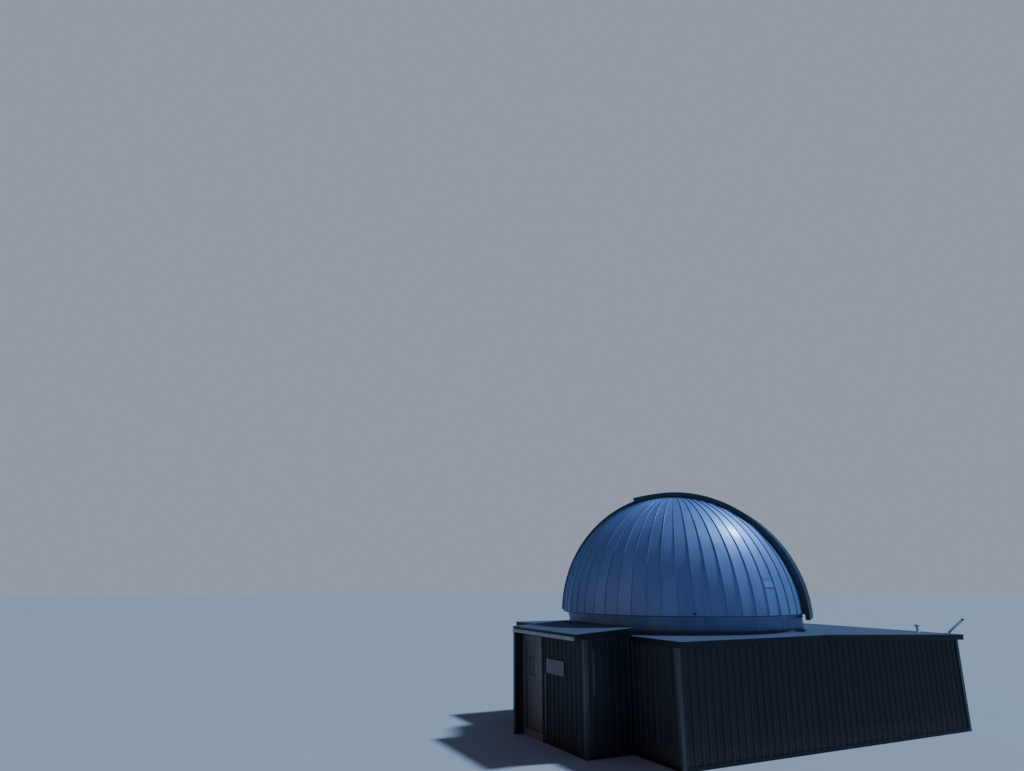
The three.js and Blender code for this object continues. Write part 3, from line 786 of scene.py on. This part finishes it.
wall = drum_ring(lambda at: oblong(drum_inner, drum_face, drum_foot(at) + 0.0005, drum_top))
make_piece("drum_wall", wall, drum_pale, "drum_front", "drum_right", "drum_rear", "drum_left")
cap = drum_ring(lambda at: oblong(drum_face, drum_outer + 0.002, drum_top - 0.035, drum_top))
make_piece("drum_cap", cap, drum_pale)
turned_up = [(-0.001, 0.001), (0.075, 0.001), (0.075, 0.004), (0.022, 0.012), (0.004, 0.070), (-0.001, 0.072)]
flashing = drum_ring(lambda at: [(drum_outer + out, drum_foot(at) + rise) for out, rise in turned_up])
make_piece("drum_flashing", flashing, roof_pale)

# %% Covers over the drum's upright joints
joint_count = 12
# The wider cover at this bearing is dark: a painted shadow of the shutter's lower end on the drum.
shadow_painted_joint = -48.0
cover_back, cover_face = drum_outer - 0.003, drum_outer + 0.005
covers = bmesh.new()
shadow_painted_cover = bmesh.new()
for joint in range(joint_count):
    bearing = shadow_painted_joint + joint * 360.0 / joint_count
    target, half_width = (covers, 0.225) if joint else (shadow_painted_cover, 0.31)
    drum_ring(lambda at: oblong(cover_back, cover_face, drum_foot(at) + 0.004, drum_top - 0.002),
              bearing - half_width, bearing + half_width, half_width, target)
make_piece("drum_joint_covers", covers, drum_pale)
make_piece("drum_cover_painted_shadow", shadow_painted_cover, dark_trim)

# %% [markdown]
# ## The skirt under the dome
# A dome like this keeps wind and snow out of the gap above its drum with a skirt: a thin strip that hangs
# from the dome's foot just outside the drum and turns with the dome. It is lofted as a ring that clears the
# drum's cap and joint covers, and its lower edge is folded back for stiffness.

# %% Skirt
skirt_inner = 3.104
skirt_foot = 2.776
skirt_top = 2.8715
skirt_face = skirt_inner + 0.004
skirt_fold = skirt_inner + 0.010
skirt_section = [
    (skirt_inner, skirt_foot), (skirt_fold, skirt_foot), (skirt_fold, skirt_foot + 0.012),
    (skirt_face, skirt_foot + 0.016), (skirt_face, skirt_top), (skirt_inner, skirt_top),
]
make_piece("weather_skirt", drum_ring(lambda at: skirt_section), drum_pale, body="dome")

# %% [markdown]
# ## Ribbed walls
# The walls are profiled steel sheet: narrow ribs about 200 mm apart stand out from flat pans. The ribs
# catch the light and the pans' edges go dark, which a bump alone can't do at the corners and along the top.
# So the profile is drawn in plan, at the full depth of a real sheet, and carried from the ground up to the
# roof's line.

# %% Rib profile and wall maker
rib_pitch = 0.200
pan_depth = 0.024
bead_depth = pan_depth - 0.004
rib_profile = [
    (0.0, 0.0), (0.026, 0.0), (0.040, pan_depth), (0.086, pan_depth), (0.091, bead_depth),
    (0.106, bead_depth), (0.111, pan_depth), (0.186, pan_depth),
]
first_rib = 0.120
edge_margin = 0.05


def rib_stations(length):
    # Distances along a wall with their depths, with a plain edge at each end.
    stations = [(0.0, 0.0), (0.030, 0.0), (0.044, pan_depth)]
    start = first_rib
    while start + rib_pitch < length - edge_margin:
        stations += [(start + along, depth) for along, depth in rib_profile]
        start += rib_pitch
    if start + 0.045 < length - edge_margin:
        stations += [(start + along, depth) for along, depth in rib_profile[:3]]
    return stations + [(length - 0.044, pan_depth), (length - 0.030, 0.0), (length, 0.0)]


def ribbed_wall(name, node, start, end, thickness, top_at):
    # The building lies on the left of somebody who walks from start to end.
    start = Vector((*start, 0.0))
    along = Vector((*end, 0.0)) - start
    stations = rib_stations(along.length)
    along.normalize()
    inward = Vector((-along.y, along.x, 0.0))
    rings = []
    for distance, depth in stations:
        back = start + along * distance + inward * thickness
        face = start + along * distance + inward * depth
        top = top_at(face.x if along.x else start.x)
        rings.append([Vector((face.x, face.y, 0.0)), Vector((face.x, face.y, top)),
                      Vector((back.x, back.y, top)), Vector((back.x, back.y, 0.0))])
    make_piece(name, loft(rings), cladding, node, crease=12.0)


# %% Walls of the main building
wall_left, wall_right = -3.235, 5.945
wall_front, wall_rear = -3.801, 3.586
wall_thickness = 0.140
joint_gap = 0.0003
inner_front = wall_front + wall_thickness + joint_gap
inner_rear = wall_rear - wall_thickness - joint_gap
passage_near, passage_far = -0.040, 0.840
roof_depth = 0.1103


def main_wall_top(x):
    return roof_height(x) - roof_depth


for name, node, start, end in (
    ("front_cladding", "front_wall", (wall_left, wall_front), (wall_right, wall_front)),
    ("rear_cladding", "rear_wall", (wall_right, wall_rear), (wall_left, wall_rear)),
    ("right_cladding", "right_wall", (wall_right, inner_front), (wall_right, inner_rear)),
    ("left_front_cladding", "left_wall_front", (wall_left, passage_near), (wall_left, inner_front)),
    ("left_rear_cladding", "left_wall_rear", (wall_left, inner_rear), (wall_left, passage_far)),
):
    ribbed_wall(name, node, start, end, wall_thickness, main_wall_top)

# %% Walls of the porch
porch_near, porch_far = -2.108, 0.994
door_wall_face, door_wall_end = -4.443, -0.1183
porch_wall_thickness = 0.090
porch_roof_depth = 0.0603
under_main_roof = 2.4497
porch_corner = door_wall_face + porch_wall_thickness + joint_gap
porch_end = wall_left - joint_gap
notch_start = -4.6532


def porch_wall_top(x):
    # Where a porch wall reaches under the main roof, it is lower.
    top = porch_height(x) - porch_roof_depth
    return min(top, under_main_roof) if x > roof_left - 0.001 else top


for name, node, start, end in (
    ("door_side_cladding", "door_wall", (door_wall_face, door_wall_end), (door_wall_face, porch_near)),
    ("porch_near_cladding", "porch_near_wall", (porch_corner, porch_near), (porch_end, porch_near)),
    ("wind_break_cladding", "porch_far_wall", (porch_end, porch_far), (notch_start, porch_far)),
):
    ribbed_wall(name, node, start, end, porch_wall_thickness, porch_wall_top)

# %% [markdown]
# ## Folded corner trims
# Where two walls meet, a folded grey trim covers both cut ends. It is an L of thin sheet with a small
# return along each edge, standing just proud of the ribs.

# %% Corner trims
trim_width = 0.092
trim_proud = 0.004
trim_sheet = 0.003
trim_return = trim_proud + 0.012
trim_inner = trim_width - trim_sheet
trim_outline = [
    (0.0, 0.0), (trim_width, 0.0), (trim_width, trim_return), (trim_inner, trim_return),
    (trim_inner, trim_sheet), (trim_sheet, trim_sheet), (trim_sheet, trim_inner), (trim_return, trim_inner),
    (trim_return, trim_width), (0.0, trim_width),
]
trims = bmesh.new()
for x, y, along_x, along_y, top in (
    (wall_left, wall_front, 1.0, 1.0, main_wall_top(wall_left)),
    (wall_right, wall_front, -1.0, 1.0, main_wall_top(wall_right)),
    (wall_right, wall_rear, -1.0, -1.0, main_wall_top(wall_right)),
    (wall_left, wall_rear, 1.0, -1.0, main_wall_top(wall_left)),
    (door_wall_face, porch_near, 1.0, 1.0, porch_wall_top(door_wall_face)),
):
    outline = [(x + along_x * (u - trim_proud), y + along_y * (v - trim_proud)) for u, v in trim_outline]
    loft([[Vector((px, py, height)) for px, py in outline] for height in (0.002, top - 0.001)], into=trims)
make_piece("corner_trims", trims, grey_trim, crease=20.0)


# %% End of the wind break, and strips on the porch
def upright_box(x0, x1, y0, y1, foot, top, into=None, ease=0.002):
    # A flat strip with its upright edges eased off.
    outline = [(x0 + ease, y0), (x1 - ease, y0), (x1, y0 + ease), (x1, y1 - ease),
               (x1 - ease, y1), (x0 + ease, y1), (x0, y1 - ease), (x0, y0 + ease)]
    return loft([[Vector((x, y, height)) for x, y in outline] for height in (foot, top)], into=into)


cap_front, cap_near, cap_far, cap_top = -4.684, 0.901, 0.997, 2.4072
cap = upright_box(cap_front, notch_start, cap_near, cap_far, 0.0, cap_top, ease=0.006)
make_piece("wind_break_cap", cap, grey_trim, "porch_far_wall")
strip_out, strip_in = 0.003, 0.002
strips = upright_box(door_wall_face - strip_out, door_wall_face + strip_in, -0.330, -0.250, 0.05, 1.545)
upright_box(-4.240, -4.185, porch_near - strip_out, porch_near + strip_in, 1.28, 2.20, strips)
make_piece("porch_strips", strips, grey_trim)

# %% [markdown]
# ## Roof sheets with dark edge trims
# Each roof is a thin pale sheet. Its cut edge is covered by a dark folded trim, so from the ground only a
# bright line of the sheet shows above dark eaves. The sheet is lofted along the building, and the round
# hole inside the drum is cut with a Boolean, because no loft can carry a straight edge round a circle.

# %% Roof sheet maker
lip = 0.030
slant = 0.002
edge_gap = 0.003
deck_top = lip - 0.001


def roof_slab(height_at, xs, y0, y1, upper, lower, ease, into=None):
    # Its faces lie the distances upper and lower below the roof's top. There is one ring for each x.
    rings = []
    for x in xs:
        section = eased(height_at(x) - lower, height_at(x) - upper, y0, y1, ease)
        rings.append([Vector((x, y, z)) for z, y in section])
    return loft(rings, into=into)


def cut_round_hole(mesh, radius):
    # Cuts an upright round hole about the dome's axis, and gives back the cut mesh.
    column = loft([[on_drum(radius, bearing, height) for bearing in degrees_between(0.0, 357.5, 2.5)]
                   for height in (1.0, 4.0)])
    uncut = add_object("uncut", mesh_data("uncut", mesh))
    cutter = add_object("cutter", mesh_data("cutter", column))
    hole = uncut.modifiers.new("hole", "BOOLEAN")
    hole.object = cutter
    hole.solver = "EXACT"
    seen = uncut.evaluated_get(bpy.context.evaluated_depsgraph_get())
    result = bmesh.new()
    result.from_mesh(seen.to_mesh())
    for leftover in (uncut, cutter):
        data = leftover.data
        bpy.data.objects.remove(leftover)
        bpy.data.meshes.remove(data)
    return result


# %% Main roof: its top sheet, and the deck under it
for name, inset, upper, lower, ease in (
    ("roof_sheet", edge_gap, 0.0, lip, slant), ("roof_deck", 0.0305, deck_top, 0.110, 0.001),
):
    slab = roof_slab(roof_height, (roof_left + inset, fall_start, roof_right - inset), roof_front + inset,
                     roof_rear - inset, upper, lower, ease)
    make_piece(name, cut_round_hole(slab, drum_inner), roof_pale, "roof_front", "roof_rear", crease=20.0)

# %% Laps between the roof's sheets
lap_outline = [(-0.040, -0.001), (-0.032, 0.003), (0.032, 0.003), (0.040, -0.001)]
first_lap, lap_spacing, lap_count = -1.75, 1.50, 6
lap_front, lap_rear = roof_front + 0.045, roof_rear - 0.045
clear_of_drum = drum_outer + 0.078
laps = bmesh.new()
for count in range(lap_count):
    x = first_lap + lap_spacing * count
    gap = math.sqrt(max(0.0, clear_of_drum ** 2 - x * x))
    stretches = ((lap_front, -gap), (gap, lap_rear)) if gap else ((lap_front, lap_rear),)
    for stretch in stretches:
        loft([[Vector((x + across, y, roof_height(x + across) + rise)) for across, rise in lap_outline]
              for y in stretch], into=laps)
make_piece("roof_laps", laps, roof_pale)

# %% Dark trims over the roofs' edges
# Each pair is how far a point stands out past the roof's edge, and how far above its top.
fold_outline = [
    (-0.0003, -lip), (-0.0003, 0.0002), (-0.0018, 0.0016), (-0.0140, 0.0016), (-0.0140, -0.0010),
    (0.0004 - edge_gap, -0.0010), (0.0004 - edge_gap, -lip),
]


def edge_trims(name, height_at, edges):
    # A folded strip along each edge: down the sheet's face, and a short flange on its top. An edge is its
    # start, its end and the way out of it.
    trims = bmesh.new()
    for (x0, y0), (x1, y1), (out_x, out_y) in edges:
        steps = [0.0, 1.0]
        if x0 < fall_start < x1:
            steps.insert(1, (fall_start - x0) / (x1 - x0))
        rings = []
        for step in steps:
            x, y = x0 + (x1 - x0) * step, y0 + (y1 - y0) * step
            rings.append([Vector((x + out_x * out, y + out_y * out, height_at(x) + rise))
                          for out, rise in fold_outline])
        loft(rings, into=trims)
    make_piece(name, trims, dark_trim, crease=20.0)


frontward, rearward, leftward, rightward = (0.0, -1.0), (0.0, 1.0), (-1.0, 0.0), (1.0, 0.0)
edge_trims("roof_edge_trims", roof_height, (
    ((roof_left, roof_front), (roof_right, roof_front), frontward),
    ((roof_left, roof_rear), (roof_right, roof_rear), rearward),
    ((roof_right, roof_front), (roof_right, roof_rear), rightward),
    ((roof_left, roof_front), (roof_left, porch_side_near - 0.002), leftward),
    ((roof_left, porch_side_far + 0.002), (roof_left, roof_rear), leftward),
))


# %% Porch roof, its trims, and the upstand on the main roof
def prism(outline, y0, y1):
    # An outline in x and z, carried from y0 to y1.
    return loft([[Vector((x, y, z)) for x, z in outline] for y in (y0, y1)])


sheet_front, sheet_back = porch_front + edge_gap, porch_back - edge_gap
sheet_near, sheet_far = porch_side_near + edge_gap, porch_side_far - edge_gap
porch_deck_front = -4.6534
porch_sheet = roof_slab(porch_height, (sheet_front, sheet_back), sheet_near, sheet_far, 0.0, lip, slant)
roof_slab(porch_height, (porch_deck_front, sheet_back), porch_side_near + lip, porch_side_far - lip,
          deck_top, 0.060, 0.001, porch_sheet)
make_piece("porch_roof_sheet", porch_sheet, roof_pale, "porch_roof", crease=20.0)
edge_trims("porch_edge_trims", porch_height, (
    ((porch_front, porch_side_near), (porch_back, porch_side_near), frontward),
    ((porch_front, porch_side_far), (porch_back, porch_side_far), rearward),
    ((porch_front, porch_side_near), (porch_front, porch_side_far), leftward),
    ((porch_back, porch_side_near), (porch_back, porch_side_far), rightward),
))
closer_end = -3.195
closer_foot = roof_top + 0.0003
under_porch_roof = 0.0605
closer = prism([(roof_left, closer_foot), (roof_left, porch_height(roof_left) - under_porch_roof),
                (closer_end, porch_height(closer_end) - under_porch_roof), (closer_end, closer_foot)],
               sheet_near, sheet_far)
make_piece("porch_closer", closer, dark_trim, "porch_roof", crease=20.0)

# %% [markdown]
# ## Boards and covers along the eaves
# Under the porch roof's front edge stands a pale board with a folded drip along its foot. The dark fascias
# are joined end to end every three metres under small cover plates.

# %% Front board and fascia covers
face, back, foot, top = -4.699, -4.674, 2.408, 2.493
board = prism([(back, foot + 0.010), (face + 0.008, foot + 0.010), (face + 0.006, foot), (face + 0.001, foot),
               (face, foot + 0.003), (face, top - 0.004), (face + 0.004, top), (back, top)],
              -2.087, porch_side_far)
make_piece("front_board", board, pale_trim, "porch_front_board", crease=20.0)

half_cover = 0.03
half_plate = 0.002
fascia_inset = 0.010
covers = bmesh.new()
for x in (-0.20, 2.80):
    top = roof_height(x) - 0.032
    for face in (roof_front + fascia_inset, roof_rear - fascia_inset):
        upright_box(x - half_cover, x + half_cover, face - half_plate, face + half_plate, top - 0.097, top,
                    covers, ease=0.001)
right_face = roof_right - fascia_inset
right_height = roof_height(6.0)
for y in (-1.3, 1.7):
    upright_box(right_face - half_plate, right_face + half_plate, y - half_cover, y + half_cover,
                right_height - 0.129, right_height - 0.034, covers, ease=0.001)
make_piece("fascia_covers", covers, dark_trim)

# %% [markdown]
# ## Foot flashing
# A folded strip closes the open foot of the ribbed sheet all round, so that no mice or leaves get behind it.

# %% Foot flashing
proud, behind, flash_top = 0.003, 0.010, 0.075
foot_strip = bmesh.new()
for x0, x1, y0, y1 in (
    (wall_left - proud, wall_right + proud, wall_front - proud, wall_front + behind),
    (wall_left - proud, wall_right + proud, wall_rear - behind, wall_rear + proud),
    (wall_right - behind, wall_right + proud, wall_front, wall_rear),
    (wall_left - proud, wall_left + behind, wall_front, porch_near),
    (wall_left - proud, wall_left + behind, porch_far, wall_rear),
    (door_wall_face - proud, door_wall_face + behind, porch_near, -0.125),
    (door_wall_face, wall_left, porch_near - proud, porch_near + behind),
):
    upright_box(x0, x1, y0, y1, 0.0, flash_top, foot_strip)
make_piece("foot_flashing", foot_strip, dark_trim)

# %% [markdown]
# ## The entrance door
# The leaf and its frame are plain painted steel, already to size. What shows up close is the bead that
# holds the pane, the drip bar along the foot, the lock under the lever and the steel strip on the sill.

# %% Bead round the pane
leaf_face, leaf_back = -4.402, -4.358
window_low, window_high = (0.236, 1.420), (0.616, 1.830)
four_corners = ((-1, -1), (1, -1), (1, 1), (-1, 1))
bead_outline = [(-0.003, -0.0005), (-0.003, 0.006), (0.004, 0.009), (0.018, 0.004), (0.019, -0.0005)]


def mitred_frame(face, side, low, high, outline, into=None):
    # A frame round a rectangle in y and z. Its outline says how far a point reaches out past the rectangle,
    # and how far it stands off the face, to the given side.
    rings = []
    for across, up in four_corners:
        edge_y = high[0] if across > 0 else low[0]
        edge_z = high[1] if up > 0 else low[1]
        rings.append([Vector((face + side * proud, edge_y + across * reach, edge_z + up * reach))
                      for reach, proud in outline])
    return loft(rings, closed=True, into=into)


bead = mitred_frame(leaf_face, -1.0, window_low, window_high, bead_outline)
mitred_frame(leaf_back, 1.0, window_low, window_high, bead_outline, bead)
make_piece("glazing_bead", bead, door_paint, body="entrance_door", crease=20.0)

# %% Drip bar, lock and sill strip
drip = prism([(leaf_face + 0.001, 0.262), (leaf_face - 0.004, 0.260), (leaf_face - 0.005, 0.226),
              (leaf_face - 0.002, 0.222), (leaf_face + 0.001, 0.224)], 0.040, 0.722)
make_piece("drip_bar", drip, door_paint, body="entrance_door", crease=20.0)

lock_profile = [
    (0.016, -0.001), (0.016, 0.004), (0.014, 0.006), (0.0085, 0.006), (0.008, 0.010), (0.006, 0.011),
]
lock = bmesh.new()
for face, side in ((leaf_face, -1.0), (leaf_back, 1.0)):
    lathe(lock_profile, Vector((face, 0.063, 1.085)), Vector((side, 0.0, 0.0)), 24, lock)
make_piece("lock_cylinder", lock, steel, body="entrance_door")

sill = prism(
    [(-4.4530, 0.1740), (-4.4530, 0.1765), (-4.4500, 0.1772), (-4.4120, 0.1772), (-4.4120, 0.1740)], 0.003,
    0.759,
)
make_piece("sill_strip", sill, steel, crease=20.0)

# %% [markdown]
# ## The sign plate
# The plate beside the door is left bare. It has a rolled rim and a screw near each corner.

# %% Sign rim and screws
sign_face = -4.4513
sign_low, sign_high = (-1.195, 1.556), (-0.345, 1.886)
screw_inset = 0.035
rim_outline = [(-0.001, -0.004), (-0.001, 0.001), (-0.005, 0.003), (-0.010, 0.0), (-0.010, -0.004)]
rim = mitred_frame(sign_face, -1.0, sign_low, sign_high, rim_outline)
make_piece("sign_rim", rim, sign_sheet, crease=25.0)
spots = [(Vector((sign_face, y, z)), Vector((-1.0, 0.0, 0.0)), Vector((0.0, 1.0, 0.0)))
         for y in (sign_low[0] + screw_inset, sign_high[0] - screw_inset)
         for z in (sign_low[1] + screw_inset, sign_high[1] - screw_inset)]
make_piece("sign_screws", round_heads(spots, 0.008, 0.004), steel, crease=60.0)

# %% [markdown]
# ## Vent cowl and leaning arm
# A small mushroom vent stands at the low end of the roof. Near the corner a pale square bar leans out to
# the right from a bolted foot plate, with a grey cap on its end.

# %% Vent
vent_x = 5.4
vent_foot = Vector((vent_x, -3.1, roof_height(vent_x)))
pipe_profile = [
    (0.075, 0.001), (0.075, 0.008), (0.060, 0.010), (0.034, 0.018), (0.028, 0.030), (0.028, 0.156),
    (0.020, 0.156),
]
cowl_profile = [
    (0.030, 0.150), (0.060, 0.146), (0.062, 0.149), (0.062, 0.176), (0.060, 0.184), (0.050, 0.200),
    (0.032, 0.210), (0.010, 0.2135),
]
vent = lathe(pipe_profile, vent_foot, upward, 32)
lathe(cowl_profile, vent_foot, upward, 32, vent)
make_piece("vent", vent, painted_lit_trim, "vent_cowl", crease=40.0)

# %% Leaning arm
arm_foot = Vector((5.880, -3.605, roof_height(5.820)))
arm_tilt, arm_bearing = 39.0, -30.0
arm_level = Vector((cosine(arm_bearing), sine(arm_bearing), 0.0))
arm_along = arm_level * cosine(arm_tilt) + upward * sine(arm_tilt)
arm_side = Vector((-arm_level.y, arm_level.x, 0.0))
arm_up = arm_side.cross(arm_along)
arm_half = 0.0245


def arm_ring(distance, half, ease):
    middle = arm_foot + arm_along * distance
    corners = []
    for u, v in four_corners:
        cuts = ((ease, 0.0), (0.0, ease))
        for less_u, less_v in cuts if u * v > 0 else cuts[::-1]:
            corners.append(middle + arm_side * u * (half - less_u) + arm_up * v * (half - less_v))
    return corners


rod = loft([arm_ring(distance, arm_half, 0.004) for distance in (0.036, 0.530)])
make_piece("leaning_arm", rod, painted_lit_trim, "roof_arm", crease=20.0)
end_cap = loft([arm_ring(distance, half, 0.005) for distance, half in
                ((0.520, 0.0245), (0.522, 0.0250), (0.578, 0.0250), (0.581, 0.0235))])
make_piece("arm_end_cap", end_cap, grey_trim, crease=20.0)

# %% The arm's foot plate and its bolts
fall = Vector((1.0, 0.0, -fall_slope)).normalized()
plate_middle = Vector((arm_foot.x, arm_foot.y, roof_height(arm_foot.x)))
bolt_reach = 0.045
plate = loft([[plate_middle + fall * u * half + Vector((0.0, v * half, rise)) for u, v in four_corners]
              for half, rise in ((0.060, 0.0005), (0.060, 0.009), (0.058, 0.011))])
spots = [(plate_middle + fall * u * bolt_reach + Vector((0.0, v * bolt_reach, 0.0125)), upward,
          Vector((0.0, 1.0, 0.0))) for u in (-1, 1) for v in (-1, 1)]
make_piece("arm_foot_plate", round_heads(spots, 0.009, 0.006, plate, 6), steel, crease=25.0)

# %% [markdown]
# ## Finish off the frame
# A plain pale floor is lit softly from all round, a little warmer from the left. One stronger, bluish lamp
# stands high on the right: its bearing and height come from the place of the highlight on the gores.

# %% Floor
floor_mesh = bmesh.new()
bmesh.ops.create_circle(floor_mesh, cap_ends=True, segments=96, radius=160.0)
floor_data = bpy.data.meshes.new("studio_floor")
floor_mesh.to_mesh(floor_data)
floor_mesh.free()
material, tree, shader, where = start_finish("studio_floor")
clouds = effect(tree, waves, Place=where, Fineness=0.25)
tone = mix_colour(tree, clouds, (0.68, 0.63, 0.60), (0.72, 0.67, 0.64))
feed(shader, {"Base Color": tone, "Roughness": 0.9})
floor_data.materials.append(material)
floor = add_object("studio_floor", floor_data)
floor.location.z = -0.002
print("floor placed")

# %% Key lamp
key_bearing, key_rise = -8.5, 51.5
key_level = Vector((cosine(key_bearing), sine(key_bearing), 0.0))
towards_key = key_level * cosine(key_rise) + upward * sine(key_rise)
lamp_data = bpy.data.lights.new("key_lamp", "SUN")
lamp_data.energy = 2.9
lamp_data.color = (0.42, 0.66, 1.0)
lamp_data.angle = math.radians(5.0)
lamp = add_object("key_lamp", lamp_data)
lamp.location = dome_centre + towards_key * 30.0
lamp.rotation_euler = towards_key.to_track_quat("Z", "Y").to_euler()
print("key lamp bearing and rise:", key_bearing, key_rise)


# %% Soft light from all round
def facing(tree, direction, way):
    return put(tree, "ShaderNodeVectorMath", {0: direction, 1: way}, operation="DOT_PRODUCT").outputs["Value"]


world = bpy.data.worlds.new("studio")
bpy.context.scene.world = world
world.use_nodes = True
around = world.node_tree
direction = put(around, "ShaderNodeTexCoord", {}).outputs["Generated"]
rise = remap(around, facing(around, direction, (0.40, -0.05, 0.90)), 0.05, 0.95)
glow = mix_colour(around, rise, (0.095, 0.140, 0.30), (0.16, 0.25, 0.50))
warmth = remap(around, facing(around, direction, (-0.98, 0.18, -0.10)), 0.68, 1.0)
glow = mix_colour(around, warmth, glow, (1.00, 0.66, 0.46))
seen = put(around, "ShaderNodeLightPath", {}).outputs["Is Camera Ray"]
glow = mix_colour(around, seen, glow, (0.96, 1.14, 1.40))
feed(around.nodes["Background"], {"Color": glow, "Strength": 0.31})
print("soft light placed")
